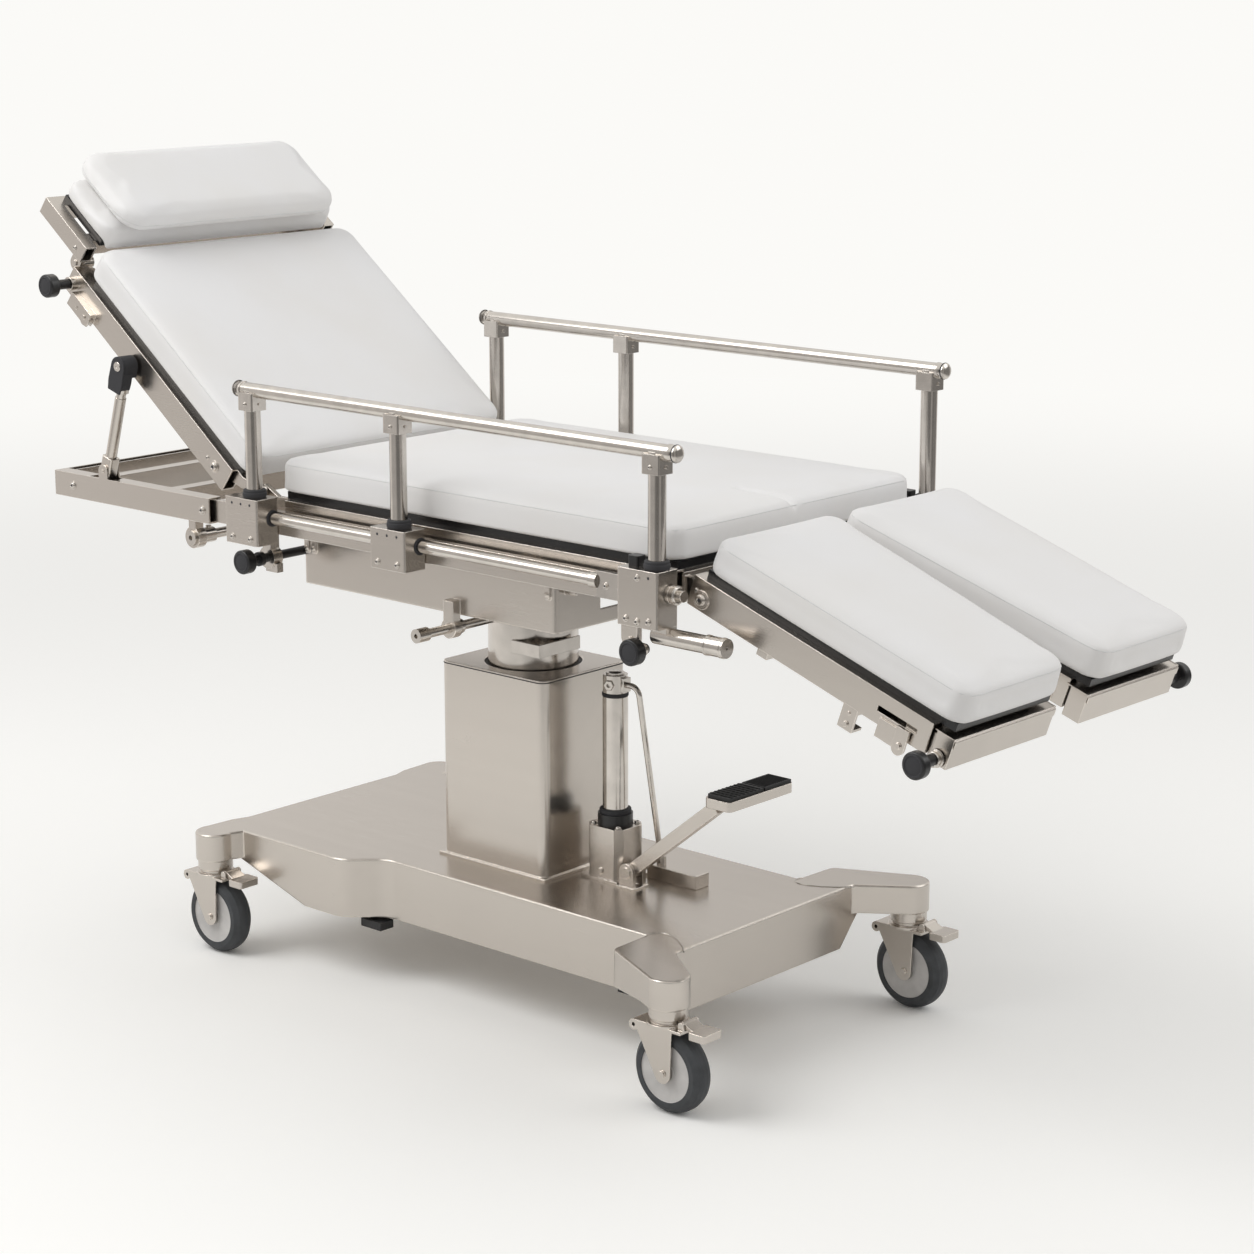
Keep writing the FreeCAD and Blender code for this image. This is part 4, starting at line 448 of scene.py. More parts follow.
def swept(shape, corners, way):
    """A face through the corners, drawn out along a vector."""
    face = shape.faces.new([shape.verts.new(corner) for corner in corners])
    result = bmesh.ops.extrude_face_region(shape, geom=[face])
    moved = [v for v in result["geom"] if isinstance(v, bmesh.types.BMVert)]
    bmesh.ops.translate(shape, vec=way, verts=moved)


def pad_block(shape, pad):
    """A cushion's starting block: rounded in plan, then along its top and bottom rims."""
    swept(shape, [(x, y, pad.low) for x, y in pad.outline], (0, 0, pad.high - pad.low))
    uprights = [e for e in shape.edges if abs(e.verts[0].co.z - e.verts[1].co.z) > 1]
    bmesh.ops.bevel(shape, geom=uprights, offset=pad.plan_r, segments=10, affect="EDGES", profile=0.5)
    for level, radius, count in ((pad.high, pad.top_r, 6), (pad.low, pad.top_r * 0.55, 4)):
        rim = [e for e in shape.edges if all(abs(v.co.z - level) < 0.01 for v in e.verts) and
               any(abs(f.normal.z) < 0.5 for f in e.link_faces)]
        bmesh.ops.bevel(shape, geom=rim, offset=radius, segments=count, affect="EDGES", profile=0.5)


def evaluated_mesh(piece):
    graph = bpy.context.evaluated_depsgraph_get()
    graph.update()
    return bpy.data.meshes.new_from_object(piece.evaluated_get(graph))


def swap_mesh(piece, mesh):
    old = piece.data
    piece.modifiers.clear()
    piece.data = mesh
    bpy.data.meshes.remove(old)


def remesh(piece, voxel):
    step = piece.modifiers.new("voxels", "REMESH")
    step.mode = "VOXEL"
    step.voxel_size = voxel
    step.use_smooth_shade = True
    swap_mesh(piece, evaluated_mesh(piece))


def inflate(piece, sizes, floor_z, held_depth=0.006):
    """Fills the cover: cloth under pressure, its underside held, with the swelling capped."""
    rest = [v.co.copy() for v in piece.data.vertices]
    held = piece.vertex_groups.new(name="held")
    held.add([v.index for v in piece.data.vertices if v.co.z < floor_z + held_depth], 1.0, "ADD")
    cloth = piece.modifiers.new("cover", "CLOTH")
    cloth.settings.use_pressure = True
    cloth.settings.uniform_pressure_force = sizes.pressure
    cloth.settings.effector_weights.gravity = 0.0
    cloth.settings.vertex_group_mass = "held"
    cloth.settings.tension_stiffness = cloth.settings.compression_stiffness = 20.0
    cloth.settings.bending_stiffness = 4.0
    cloth.point_cache.frame_start = 1
    cloth.point_cache.frame_end = sizes.frames
    for moment in range(1, sizes.frames + 1):
        bpy.context.scene.frame_set(moment)
    mesh = evaluated_mesh(piece)
    bpy.context.scene.frame_set(1)
    for vertex, start in zip(mesh.vertices, rest):
        moved = vertex.co - start
        if moved.length > sizes.swell:
            vertex.co = start + moved.normalized() * sizes.swell
    piece.vertex_groups.clear()
    swap_mesh(piece, mesh)


def relax(mesh, rounds):
    """Evens out the voxel steps."""
    shape = bmesh.new()
    shape.from_mesh(mesh)
    for _ in range(rounds):
        bmesh.ops.smooth_vert(shape, verts=shape.verts, factor=0.5, use_axis_x=True, use_axis_y=True, use_axis_z=True)
    shape.to_mesh(mesh)
    shape.free()


def clamped(value):
    return max(0.0, min(1.0, value))


def span(values):
    """The middle and half the length of a set of numbers."""
    low, high = min(values), max(values)
    return (low + high) / 2, (high - low) / 2


def crown(mesh, outline, high):
    """Lifts the top towards its middle and sinks its rim."""
    cx, hx = span([x * MM for x, _ in outline])
    cy, hy = span([y * MM for _, y in outline])
    for vertex in mesh.vertices:
        u, v = (vertex.co.x - cx) / hx, (vertex.co.y - cy) / hy
        level = max(0.0, 1.0 - u ** 4) * max(0.0, 1.0 - v ** 4)
        share = clamped((vertex.co.z - (high - CROWN_DEPTH)) / CROWN_DEPTH)
        vertex.co.z += share * (CROWN * level - CROWN_SINK)


def seat_slit(mesh):
    """The short channel at the seat's foot end."""
    for vertex in mesh.vertices:
        near = math.exp(-((vertex.co.y - SLIT_Y * MM) / SLIT_WIDE) ** 2)
        run = clamped((vertex.co.x - SLIT_START * MM) / SLIT_RAMP)
        share = clamped((vertex.co.z - (SEAT_TOP * MM - 0.03)) / 0.02)
        vertex.co.z -= SLIT_DEEP * near * run * share


def seam_line(path, radius, name, closed=True, sides=6):
    """A thin bead that follows a line of points."""
    count = len(path)

    def fill(shape):
        rings = []
        up = Vector((0, 0, 1))
        for index, point in enumerate(path):
            after = path[(index + 1) % count] if closed or index + 1 < count else point
            before = path[index - 1] if closed or index else point
            side = (after - before).normalized().cross(up).normalized()
            turns = [2 * math.pi * step / sides for step in range(sides)]
            rings.append([shape.verts.new(point + radius * (math.cos(t) * side + math.sin(t) * up)) for t in turns])
        for index in range(count if closed else count - 1):
            first, second = rings[index], rings[(index + 1) % count]
            for step in range(sides):
                after = (step + 1) % sides
                shape.faces.new((first[step], first[after], second[after], second[step]))
    mesh = mesh_from(fill, name)
    mesh.shade_smooth()
    return mesh


def seat(matrix, place, way=(0.0, 0.0, 1.0)):
    """A place in a section's millimetres, with Z turned to point the given way."""
    turn = Vector(way).to_track_quat("Z", "Y").to_matrix().to_4x4()
    return matrix @ Matrix.Translation(place) @ turn


def turned(shape, profile, matrix, sides):
    """A turned form from (radius, height) pairs about the matrix's own Z."""
    rings = []
    for radius, height in profile:
        around = [2 * math.pi * k / sides for k in range(sides if radius else 1)]
        rings.append([shape.verts.new(matrix @ Vector((radius * math.cos(a), radius * math.sin(a), height)))
                      for a in around])
    for first, second in zip(rings, rings[1:]):
        for k in range(sides):
            corners = (first[k % len(first)], first[(k + 1) % len(first)],
                       second[(k + 1) % len(second)], second[k % len(second)])
            corners = list(dict.fromkeys(corners))
            if len(corners) > 2:
                shape.faces.new(corners)


def extruded(shape, outline, y1, y2, matrix, edge):
    """An outline in x and z drawn along y, with its edges rounded."""
    part = bmesh.new()
    swept(part, [(x, y1, z) for x, z in outline], (0, y2 - y1, 0))
    bmesh.ops.bevel(part, geom=part.edges[:], offset=edge, segments=2, affect="EDGES", profile=0.5)
    part.transform(matrix)
    spare = bpy.data.meshes.new("spare")
    part.to_mesh(spare)
    part.free()
    shape.from_mesh(spare)
    bpy.data.meshes.remove(spare)


def box_outline(x1, x2, z1, z2):
    return [(x1, z1), (x2, z1), (x2, z2), (x1, z2)]


def fittings(name, body, slot, forms, sides=20):
    """One piece made of turned forms, each with its profile and place."""
    def fill(shape):
        for profile, matrix in forms:
            turned(shape, profile, matrix, sides)
    mesh = mesh_from(fill, name)
    mesh.shade_smooth()
    mesh.set_sharp_from_angle(angle=math.radians(35.0))
    new_piece(name, mesh, body, slot)


def pan_head(radius, high):
    """A pan head screw on its washer."""
    return [(0.0, 0.86 * high), (0.42 * radius, 0.86 * high), (0.47 * radius, high), (0.72 * radius, 0.98 * high),
            (0.93 * radius, 0.66 * high), (radius, 0.24 * high), (1.32 * radius, 0.22 * high), (1.36 * radius, 0.0)]


def socket(radius, high):
    """A black six-sided disc in a screw head's recess: painted shade standing in for the depth of the socket."""
    return [(0.0, 0.93 * high), (0.36 * radius, 0.93 * high), (0.38 * radius, 0.8 * high)]


def screws(name, body, places):
    """Screw heads, and black discs of painted shade in their sockets: (matrix, radius, height) for each."""
    fittings(name, body, "polished", [(pan_head(r, h), m) for m, r, h in places])
    # The socket discs are painted shade: black where the socket's depth would look dark.
    fittings(f"{name}_sockets", body, "black_plastic", [(socket(r, h), m) for m, r, h in places], 6)


def rounded_loop(half_x, half_y, radius, z):
    """A rectangle's closed line with round corners."""
    points = []
    for sx, sy, start in ((1, 1, 0), (-1, 1, 90), (-1, -1, 180), (1, -1, 270)):
        for step in range(7):
            turn = math.radians(start + 15 * step)
            points.append(Vector((sx * (half_x - radius) + radius * math.cos(turn),
                                  sy * (half_y - radius) + radius * math.sin(turn), z)))
    return points


def ring_on(mesh, height, step):
    """Points round a cushion's side at one height, found on its own surface."""
    tree = BVHTree.FromPolygons([v.co for v in mesh.vertices], [p.vertices for p in mesh.polygons])
    cx, hx = span([v.co.x for v in mesh.vertices])
    cy, hy = span([v.co.y for v in mesh.vertices])
    inner = min(hx, hy) * 0.7
    quarter = math.pi / 2
    dx, dy = hx - inner, hy - inner
    corners = [Vector((cx + sx * dx, cy + sy * dy)) for sx, sy in ((-1, -1), (1, -1), (1, 1), (-1, 1))]
    around = []
    for side in range(4):
        before, here, start = corners[side], corners[(side + 1) % 4], (side - 1) * quarter
        count = max(2, int((here - before).length / step))
        around += [(before + k / count * (here - before), start) for k in range(count)]
        count = max(8, int(inner * quarter / step))
        around += [(here, start + quarter * k / count) for k in range(count)]
    points = []
    for (x, y), turn in around:
        ray = Vector((math.cos(turn), math.sin(turn), 0.0))
        hit = tree.ray_cast(Vector((x, y, height)) + ray * 2.0, -ray)[0]
        if hit is not None:
            points.append(hit)
    return points


def make_cushion(pad, sizes, cover, thread):
    """One cushion: remeshed block, filled, crowned, seams laid on, then put in its place."""
    def fill(shape):
        pad_block(shape, pad)
        if pad.lip:
            x1, x2, half, z = pad.lip
            extruded(shape, box_outline(x1, x2, z, pad.low + 12), -half + 8, half - 8, Matrix(), 3.0)
    piece = link(bpy.data.objects.new(pad.name, mesh_from(fill, pad.name)))
    piece.data.transform(Matrix.Scale(MM, 4))
    remesh(piece, sizes.voxel)
    relax(piece.data, 2)
    inflate(piece, sizes, pad.low * MM)
    crown(piece.data, pad.outline, pad.high * MM)
    relax(piece.data, 1)
    if pad.groove:
        pad.groove(piece.data)
    beads = [seam_line(ring_on(piece.data, height * MM, SEAM_STEP), sizes.seam_radius, f"{pad.name}_seam_{number}")
             for number, height in enumerate(pad.seams)]
    step = piece.modifiers.new("fine", "SUBSURF")
    step.levels = step.render_levels = 1
    place = pad.place @ Matrix.Scale(1.0 / MM, 4)
    piece.data.transform(place)
    piece.data.materials.clear()
    piece.data.materials.append(cover)
    piece.data.shade_smooth()
    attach(piece, pad.body)
    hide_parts(pad.node)
    for bead in beads:
        bead.transform(place)
        new_piece(bead.name, bead, pad.body, "vinyl", thread)


def give(node, material):
    """Sets one material on a CAD node."""
    target = frame["nodes"][node]
    if not target.material_slots:
        target.data.materials.append(material)
    for slot in target.material_slots:
        slot.link = "OBJECT"
        slot.material = material


class TABLE_OT_metal(bpy.types.Operator):
    """Brushed and polished steel on the frame, the base and the fittings"""

    bl_idname = "table.metal"
    bl_label = "Metal finishes"

    def execute(self, context):
        look = context.scene.table_metal
        by_brush = {axis: steel(f"stainless_{axis.lower()}", axis, look) for axis in "XZ"}
        # The wider rim also widens the painted edge highlight on the pressed sheets.
        pressed = steel("stainless_sheet", "X", look, rim=0.0032)
        polished = chrome("polished_steel", look)
        for part in frame["record"]["subparts"]:
            node, slot = part["node"], part["material_slot"]
            if slot == "stainless":
                give(node, pressed if node in PRESSED_SHEETS else by_brush["Z" if node in UPRIGHT_TUBES else "X"])
            elif slot == "polished":
                give(node, polished)
        return {"FINISHED"}


class TABLE_OT_plastics(bpy.types.Operator):
    """Black knobs, boards, collars, rubber and the wheels"""

    bl_idname = "table.plastics"
    bl_label = "Plastics, rubber and wheels"

    def execute(self, context):
        soft = context.scene.table_soft
        finishes = {
            "black_plastic": plastic("black_plastic", (0.013, 0.013, 0.014), 0.30),
            "rubber": plastic("rubber", (0.015, 0.015, 0.016), 0.50, 600.0),
            "board": plastic("board", (0.010, 0.010, 0.011), 0.22),
        }
        for part in frame["record"]["subparts"]:
            node, slot = part["node"], part["material_slot"]
            if slot in finishes:
                give(node, finishes[slot])
            elif slot == "tyre":
                low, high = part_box(node)
                wheel = node.removeprefix("caster_wheel_")
                give(node, wheel_finish(f"wheel_{wheel}", tuple((low + high) / 2), soft))
        return {"FINISHED"}


class TABLE_OT_cushions(bpy.types.Operator):
    """White padded cushions with sewn seams on the seat, back, head and legs"""

    bl_idname = "table.cushions"
    bl_label = "Cushions"

    def execute(self, context):
        sizes = context.scene.table_cushions
        cover = vinyl("white_cover", context.scene.table_soft)
        thread = plastic("seam_thread", (0.74, 0.74, 0.73), 0.5)
        seam = (-SEAM_DROP,)
        pads = [
            Pad("seat_cushion", "seat_pad", "table", self.block(-282 + COVER_INSET, 527 - COVER_INSET, 275), SEAT_LOW,
                SEAT_TOP, LEVEL, 30, 14, (SEAT_TOP - SEAM_DROP,), seat_slit),
            Pad("back_cushion", "back_pad", "back", self.block(-475, 8 - COVER_INSET, 275), PAD_LOW, 0.0, ON_BACK,
                30, 14, seam),
            Pad("head_cushion_lower", "head_pad_lower", "head", self.block(-614, -486, 248), -13.6, 21.0, ON_BACK,
                22, 9, (), lip=HEAD_LIP),
            Pad("head_cushion_upper", "head_pad_upper", "head", self.block(-638, -468, 230), 21.6, 59.5, ON_BACK,
                40, 18, (35.0,)),
        ]
        for name, side in SIDES:
            outline = [(x, side * y) for x, y in ((2, 10), (450, 38), (450, 273), (2, 273))][::side]
            pads.append(Pad(f"leg_cushion_{name}", f"leg_pad_{name}", f"leg_{name}", outline, PAD_LOW, 0.0, ON_LEGS,
                            28, 14, seam))
        for pad in pads:
            make_cushion(pad, sizes, cover, thread)
        return {"FINISHED"}

    def block(self, x1, x2, half):
        """A cushion's plan, its sides inset for the cover."""
        half -= COVER_INSET
        return [(x1, -half), (x2, -half), (x2, half), (x1, half)]


class TABLE_OT_screws(bpy.types.Operator):
    """Screw heads with washers, and sockets darkened with painted shade, on the frames, blocks and hinges"""

    bl_idname = "table.screws"
    bl_label = "Screws"

    def execute(self, context):
        self.table()
        self.back()
        self.sides()
        x, y = PUMP
        dx, dy = PUMP_BOLTS
        screws("pump_screws", "base", [(seat(LEVEL, (x + i * dx, y + j * dy, PUMP_LEVELS["bolts"])), 4.6, 3.8)
                                       for i in (-1, 1) for j in (-1, 1)])
        return {"FINISHED"}

    def table(self):
        places = []
        for side, blocks in ((-1, NEAR_BLOCKS), (1, FAR_BLOCKS)):
            spots = [(x + d, low + 10, 3.4) for x, low in zip(blocks, BLOCK_LOW) for d in (-BLOCK_PITCH, BLOCK_PITCH)]
            spots += [(blocks[2], BLOCK_LOW[2] + 8, 3.4), (blocks[2], BLOCK_LOW[2] + 68, 3.0)]
            spots = [(x, BLOCK_FACE, z, 4.0, high) for x, z, high in spots]
            rod_end = blocks[2] - BLOCK_HALF - 62.0
            spots += [(rod_end + d, SIDE_ROD_Y + 5, SIDE_ROD_Z - 4, 4.0, 3.3) for d in (18, 44)]
            spots += [(x, 300.0, 738.0, 5.6, 3.8) for x in SUPPORT_BOLTS]
            places += [(seat(LEVEL, (x, side * y, z), (0, side, 0)), r, high) for x, y, z, r, high in spots]
        screws("table_screws", "table", places)

    def back(self):
        s, n = BACK_HINGE
        hinge = ((s, 7.6, 4.8), (s - 20, 3.2, 2.1))
        screws("back_screws", "back", [(seat(ON_BACK, (x, side * 272.0, n), (0, side, 0)), r, high)
                                       for _, side in SIDES for x, r, high in hinge])
        s, n = HEAD_BOLT
        screws("head_screws", "head", [(seat(ON_BACK, (s, side * 268.0, n), (0, side, 0)), 3.3, 2.2)
                                       for _, side in SIDES])

    def sides(self):
        s, n = LEG_HINGE
        for name, side in SIDES:
            out = (0, side, 0)
            screws(f"leg_screws_{name}", f"leg_{name}",
                   [(seat(ON_LEGS, (s, side * 271.0, n), out), 8.2, 5.0),
                    (seat(ON_LEGS, (s - 12, side * 270.0, n + 8), out), 3.2, 2.0)])
            screws(f"rail_screws_{name}", f"guard_{name}",
                   [(seat(LEVEL, (x, side * 328.0, RAIL_Z[name] - 20), out), 2.6, 2.5)
                    for x in (NEAR_POSTS if side < 0 else FAR_POSTS)])


class TABLE_OT_trim(bpy.types.Operator):
    """Collars, bushes, rings, rail ends, knob faces, black discs of painted shade for holes, and the seams of the
    sheet steel
    """

    bl_idname = "table.trim"
    bl_label = "Rings, collars and seams"

    def execute(self, context):
        self.blocks()
        self.knobs()
        self.rails()
        self.pump()
        self.sheet()
        return {"FINISHED"}

    def blocks(self):
        collar = [(12.9, 12.5), (16.2, 12.5), (17.4, 11.4), (17.4, 8.4), (18.4, 7.6), (18.4, 2.4), (17.5, 1.6),
                  (17.3, 0.2)]
        bush = [(9.3, 1.4), (12.0, 1.4), (12.8, 0.7), (12.8, 0.0)]
        # Painted shade: flat black discs on the block faces stand in for the dark depth of the holes.
        painted_hole_shade = [(0.0, 0.15), (1.9, 0.15), (2.1, 0.02)]
        ball = [(0.0, 8.6), (3.0, 8.0), (5.8, 5.6), (7.0, 2.0), (7.0, -1.5), (5.4, -4.0)]
        ring = [(13.5, 0.0), (14.3, 0.7), (14.3, 3.6), (13.5, 4.3)]
        boss = [(8.2, 5.4), (10.6, 5.4), (11.6, 4.2), (13.4, 3.4), (13.4, 0.0)]
        black, bright = [], []
        for side, blocks, posts in ((-1, NEAR_BLOCKS, NEAR_POSTS), (1, FAR_BLOCKS, FAR_POSTS)):
            for index, (x, post) in enumerate(zip(blocks, posts)):
                top = BLOCK_LOW[index] + BLOCK_HIGH[index]
                last = index == 2
                black.append((collar, seat(LEVEL, (post, side * POST_Y, top))))
                if not last:
                    black.append((bush, seat(LEVEL, (x + BLOCK_HALF, side * SIDE_ROD_Y, SIDE_ROD_Z), (1, 0, 0))))
                black += [(painted_hole_shade, seat(LEVEL, (x + d, side * BLOCK_FACE, top - HOLE_DROP), (0, side, 0)))
                          for d in ((BLOCK_PITCH,) if last else (-BLOCK_PITCH, 0, BLOCK_PITCH))]
                bright.append((ball, seat(LEVEL, (x - BLOCK_HALF - 12, side * 301.0, top - 12), (-1, 0, 0))))
            end = blocks[2] + FOOT_TUBE_END
            bright += [(ring, seat(LEVEL, (end - back, side * FOOT_TUBE_Y, FOOT_TUBE_Z), (1, 0, 0)))
                       for back in (34.0, 8.0)]
            bright.append((boss, seat(LEVEL, (blocks[2] + BLOCK_HALF + 6, side * SIDE_ROD_Y, SIDE_ROD_Z), (1, 0, 0))))
        fittings("block_collars", "table", "black_plastic", black, 28)
        fittings("block_bolts", "table", "polished", bright, 28)

    def knobs(self):
        face = [(0.0, 0.5), (11.4, 0.5), (12.3, 0.2), (13.1, 1.1), (14.6, 1.2), (15.6, 0.0)]
        sleeve = [(8.4, 9.0), (9.8, 9.0), (10.6, 8.2), (10.6, 1.2), (12.2, 0.8), (12.2, 0.0)]
        places = (("head_knob", "head_lock", ON_BACK, (-481.0, -87.0), -1, "back", 272.0),
                  ("leg_knob_near", "leg_lock_near", ON_LEGS, (430.0, -108.0), -1, "leg_near", 268.5),
                  ("leg_knob_far", "leg_lock_far", ON_LEGS, (430.0, -108.0), 1, "leg_far", 268.5),
                  ("lock_knob", "lock_screw", LEVEL, (-293.0, 678.0), -1, None, 0.0),
                  ("clamp_knob_near", "clamp_screw_near", LEVEL, (493.5, 664.0), -1, None, 0.0),
                  ("clamp_knob_far", "clamp_screw_far", LEVEL, (482.0, 664.0), 1, None, 0.0))
        for node, body, matrix, (x, z), side, carrier, plane in places:
            out = (0, side, 0)
            low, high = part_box(node)
            y = (low[1] if side < 0 else high[1]) / MM
            fittings(f"{node}_face", body, "black_plastic", [(face, seat(matrix, (x, y, z), out))], 40)
            if carrier:
                foot = seat(matrix, (x, side * plane, z), out)
                fittings(f"{node}_sleeve", carrier, "polished", [(sleeve, foot)], 28)

    def rails(self):
        dome = [(12.1, -0.4), (11.9, 1.4), (10.0, 3.4), (6.5, 4.8), (0.0, 5.4)]
        dark = [(12.35, -2.2), (12.55, -1.6), (12.55, -0.8), (12.1, -0.2)]
        for name, side in SIDES:
            ends = [seat(LEVEL, (x, side * POST_Y, RAIL_Z[name]), (way, 0, 0))
                    for x, way in zip(RAIL_ENDS[name], (-1, 1))]
            fittings(f"rail_ends_{name}", f"guard_{name}", "polished", [(dome, m) for m in ends], 32)
            fittings(f"rail_rings_{name}", f"guard_{name}", "black_plastic", [(dark, m) for m in ends], 32)

    def pump(self):
        x, y = PUMP
        step = [(19.8, 7.0), (23.4, 7.0), (24.4, 6.0), (24.4, 0.0)]
        neck = [(19.2, 0.0), (20.3, 0.8), (20.3, 5.0), (19.2, 5.8)]
        cap = [(0.0, 4.6), (9.0, 4.6), (11.0, 3.4), (13.0, 3.0), (14.2, 1.2), (14.4, 0.0)]
        nut = [(0.0, 1.0), (3.2, 1.0), (3.6, 4.4), (7.4, 4.4), (8.4, 3.4), (8.4, 0.0)]
        rings = [(form, seat(LEVEL, (x, y, PUMP_LEVELS[key]))) for form, key in ((step, "step"), (neck, "neck"))]
        fittings("pump_rings", "base", "black_plastic", rings, 36)
        fittings("pump_cap_top", "base", "polished", [(cap, seat(LEVEL, (x, y, PUMP_LEVELS["cap"])))], 36)
        fittings("pump_nut", "base", "polished",
                 [(nut, seat(LEVEL, (x + 4, y - 17.5, PUMP_LEVELS["nut"]), (0.35, -1, 0)))], 6)

    def sheet(self):
        """Seams round the foot lobes and the dark joints of the column cover."""
        for name, side in SIDES:
            path = [Vector((x, side * y, BASE_TOP)) for x, y in FOOT_SEAM]
            mesh = seam_line(path, 1.1, f"foot_seam_{name}", closed=False)
            mesh.transform(LEVEL)
            new_piece(mesh.name, mesh, "base", "polished")
        for name, grow, z, radius in (("cover_top_joint", 0.2, 509.6, 0.8), ("cover_foot_joint", 0.6, 200.4, 1.0)):
            mesh = seam_line(rounded_loop(*(size + grow for size in (*COLUMN_HALF, COLUMN_CORNER)), z), radius, name)
            mesh.transform(LEVEL)
            new_piece(name, mesh, "base", "black_plastic")


class TABLE_OT_forms(bpy.types.Operator):
    """The strut's fork, the covers of the leg end boxes and the pedal's tread"""

    bl_idname = "table.forms"
    bl_label = "Fork, end covers and tread"

    def execute(self, context):
        self.strut()
        self.leg_ends()
        self.tread()
        return {"FINISHED"}

    def strut(self):
        """A hood over the rod's end: solid at the pin, open at the back where the tube slides in."""
        x, z = STRUT_HEAD
        lean = math.atan2(x - STRUT_FOOT[0], z - STRUT_FOOT[1])
        turns = [math.radians(a) for a in range(0, 181, 15)]
        round_end = [(15.8 * math.cos(a), 15.8 * math.sin(a)) for a in turns]
        head = round_end + [(-15.8, -15.5), (15.8, -15.5)]
        cheek = round_end + [(-17.0, -26.0), (-14.5, -43.0), (14.5, -43.0), (17.0, -26.0)]
        flange = [(14.7, -8.0), (17.0, -8.0), (17.0, -26.0), (15.6, -36.0), (14.7, -36.0)]
        place = LEVEL @ Matrix.Translation((x, STRUT_Y, z)) @ Matrix.Rotation(lean, 4, "Y")
        plate = FORK_FACE + FORK_PLATE

        def fill(shape):
            extruded(shape, head, plate, FORK_BACK, place, 1.2)
            extruded(shape, cheek, FORK_FACE, plate, place, 1.0)
            for side in (-1, 1):
                extruded(shape, [(side * u, v) for u, v in flange][::-side], plate - 0.6, 2.0, place, 0.4)
        new_piece("strut_fork", mesh_from(fill, "strut_fork"), "strut_inner", "black_plastic")
        washer = [(0.0, 0.7), (2.4, 0.7), (2.8, 1.6), (7.0, 1.6), (7.8, 0.8), (7.8, 0.0)]
        fittings("strut_washer", "strut_inner", "polished",
                 [(washer, seat(LEVEL, (x, STRUT_Y + FORK_FACE, z), (0, -1, 0)))], 32)

    def leg_ends(self):
        outline = [(409.0, -75.2), (444.0, -75.2), (446.6, -78.0), (446.6, -86.0), (448.2, -86.0), (448.2, -76.0),
                   (445.4, -73.4), (409.0, -73.4)]
        for name, side in SIDES:
            y1, y2 = sorted(side * y for y in LEG_END_Y)
            mesh = mesh_from(lambda shape: extruded(shape, outline, y1, y2, ON_LEGS, 0.5), f"leg_end_cover_{name}")
            new_piece(mesh.name, mesh, f"leg_{name}", "stainless")

    def tread(self):
        """Fine ribs on one end of the pedal's pad, wide ones on the rest."""
        x1, x2 = TREAD_X
        fine = box_outline(x1, x2, TREAD_LOW, TREAD_LOW + 1.4)
        wide = box_outline(x1 - 2.4, x2 + 2.4, TREAD_LOW, TREAD_LOW + 1.6)

        def fill(shape):
            for rib in range(12):
                y = 57.0 + TREAD_STEP * rib
                extruded(shape, fine, y, y + 2.2, LEVEL, 0.5)
            for rib in range(8):
                y = -22.4 + 9.0 * rib
                extruded(shape, wide, y, y + 3.0, LEVEL, 0.6)
        new_piece("pedal_tread", mesh_from(fill, "pedal_tread"), "pedal", "rubber")


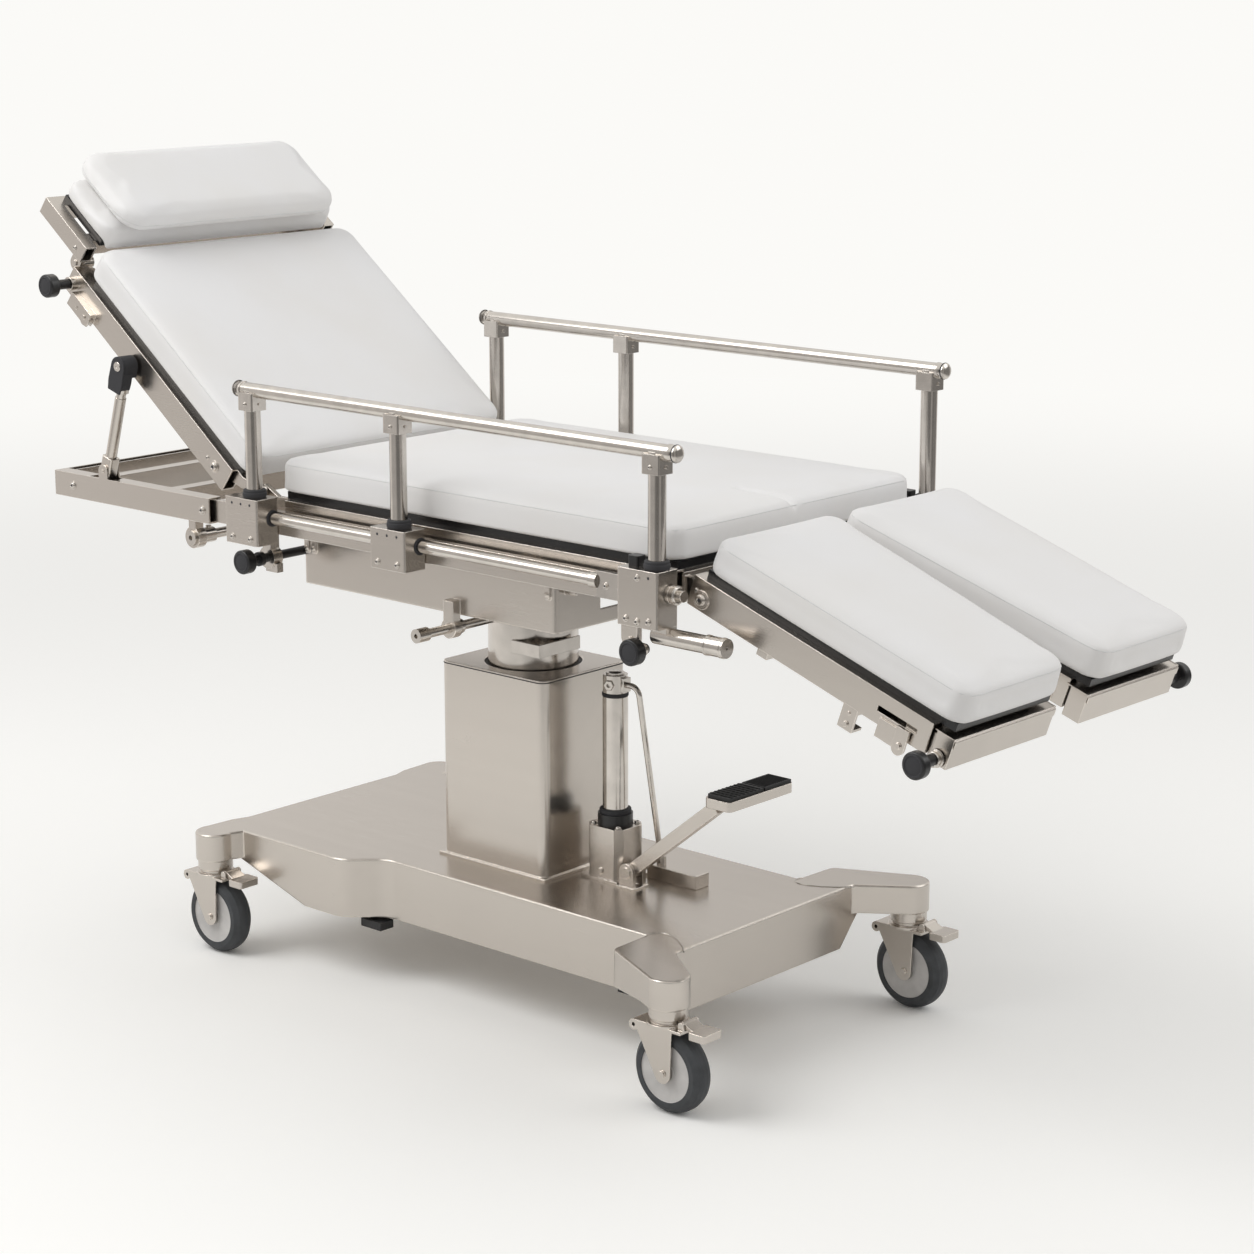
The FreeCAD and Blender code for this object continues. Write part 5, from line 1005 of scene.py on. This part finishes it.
class TABLE_OT_stage(bpy.types.Operator):
    """Pale floor and background, soft lamps and the camera"""

    bl_idname = "table.stage"
    bl_label = "Stage, light and camera"

    def execute(self, context):
        look = context.scene.table_stage
        self.floor(look)
        self.world(look)
        self.lamps(look)
        self.camera()
        context.scene.view_settings.view_transform = "Standard"
        return {"FINISHED"}

    def floor(self, look):
        """A pale floor that keeps the shadow and fades into the background with distance."""
        mesh = mesh_from(lambda shape: bmesh.ops.create_grid(shape, x_segments=8, y_segments=8, size=FLOOR_HALF),
                         "floor")
        f = Finish("floor")
        place = f.place()
        smudge = f.noise(place, 1.3, 3.0)
        tone = f.colour(f.ramp(smudge, 0.35, 0.7), tinted(look.floor_colour), tinted(look.floor_colour, 0.98))
        f.wire(Base_Color=tone, Roughness=0.55 + 0.08 * smudge)
        wall = tinted(look.wall_colour)
        room = f.colour(f.room(place, look.room_shade), BLACK, ROOM_TINT)
        glossy = f.ray("Glossy")
        lit = f.node("ShaderNodeBsdfDiffuse", None, {"Color": wall})
        lift = f.node("ShaderNodeBsdfDiffuse", None, {"Color": tinted(look.wall_colour, look.floor_lift)})
        near = f.node("ShaderNodeAddShader", None, {0: lit, 1: lift})
        far = f.node("ShaderNodeEmission", None, {"Color": f.colour(glossy, wall, room), "Strength": 1.0})
        away = f.distance(place, (0.0, 0.0, 0.0), (1.0, 1.0, 0.0))
        fade = f.ramp(away, *FLOOR_FADE)
        mirrored = f.ramp(away, *ROOM_FADE)
        smooth = (1.0 - glossy) * fade * fade * (3.0 - 2.0 * fade) + glossy * mirrored
        seen = f.node("ShaderNodeMixShader", None, {0: smooth, 1: near, 2: far})
        watched = (f.ray("Camera") + glossy + f.ray("Transmission")).clipped()
        shown = f.node("ShaderNodeMixShader", None, {0: watched, 1: Value(f.tree, f.shader.outputs[0]), 2: seen})
        end = next(n for n in f.tree.nodes if n.type == "OUTPUT_MATERIAL")
        f.tree.links.new(shown.socket, end.inputs["Surface"])
        mesh.materials.append(f.material)
        floor = link(bpy.data.objects.new("floor", mesh))

    def world(self, look):
        """Even light for the object, the pale background for the camera and for reflections."""
        world = bpy.data.worlds.new("studio")
        bpy.context.scene.world = world
        world.use_nodes = True
        n = Network(world.node_tree)
        back = next(x for x in n.tree.nodes if x.type == "BACKGROUND")
        way = n.node("ShaderNodeTexCoord", output="Generated")
        wall = tinted(look.wall_colour)
        room = n.colour(n.room(way, look.room_shade), BLACK, ROOM_TINT)
        mirror = n.colour(n.ramp(n.axis(way, "Z"), *HORIZON_FADE), room, wall)
        lit = n.colour(n.ray("Glossy"), (look.ambient,) * 3 + (1.0,), mirror)
        shown = n.colour((n.ray("Camera") + n.ray("Transmission")).clipped(), lit, wall)
        n.tree.links.new(shown.socket, back.inputs["Color"])

    def lamps(self, look):
        for name, place, aim, size, power in (
                ("key", (-1.6, -2.2, 3.4), (0.0, 0.0, 0.6), 2.6, look.key),
                ("fill", (2.6, 1.8, 2.8), (0.1, 0.0, 0.6), 2.4, look.key * FILL_SHARE)):
            data = bpy.data.lights.new(name, "AREA")
            data.shape = "SQUARE"
            data.size = size
            data.energy = power
            lamp = link(bpy.data.objects.new(name, data))
            lamp.location = place
            lamp.rotation_euler = (Vector(aim) - Vector(place)).to_track_quat("-Z", "Y").to_euler()

    def camera(self):
        data = bpy.data.cameras.new("view")
        data.lens = LENS
        data.sensor_width = SENSOR
        data.clip_start, data.clip_end = CLIP
        camera = link(bpy.data.objects.new("view", data))
        around, above = math.radians(CAMERA_AROUND), math.radians(CAMERA_ABOVE)
        back = Vector((math.sin(around) * math.cos(above), -math.cos(around) * math.cos(above), math.sin(above)))
        x, y, z = CAMERA_PLACE
        camera.location = ((x + TABLE_SHIFT) * MM, y * MM, z * MM)
        camera.rotation_mode = "QUATERNION"
        camera.rotation_quaternion = (-back).to_track_quat("-Z", "Y")
        bpy.context.scene.camera = camera


OPERATORS = (TABLE_OT_stage, TABLE_OT_metal, TABLE_OT_plastics, TABLE_OT_cushions, TABLE_OT_screws, TABLE_OT_trim,
             TABLE_OT_forms)


class TABLE_PT_pieces(bpy.types.Panel):
    bl_label = "Operating table"
    bl_idname = "TABLE_PT_pieces"
    bl_space_type = "VIEW_3D"
    bl_region_type = "UI"
    bl_category = "Operating table"

    def draw(self, context):
        for name in LOOKS:
            group = getattr(context.scene, name)
            box = self.layout.box()
            for key in group.__annotations__:
                box.prop(group, key)
        for operator in OPERATORS:
            self.layout.operator(operator.bl_idname)


def register():
    for group in LOOKS.values():
        bpy.utils.register_class(group)
    for name, group in LOOKS.items():
        setattr(bpy.types.Scene, name, PointerProperty(type=group))
    for operator in OPERATORS:
        bpy.utils.register_class(operator)
    bpy.utils.register_class(TABLE_PT_pieces)


def unregister():
    bpy.utils.unregister_class(TABLE_PT_pieces)
    for operator in reversed(OPERATORS):
        bpy.utils.unregister_class(operator)
    for name, group in reversed(list(LOOKS.items())):
        delattr(bpy.types.Scene, name)
        bpy.utils.unregister_class(group)


def main():
    register()
    for operator in OPERATORS:
        area, action = operator.bl_idname.split(".")
        getattr(getattr(bpy.ops, area), action)()


if __name__ == "__main__":
    main()
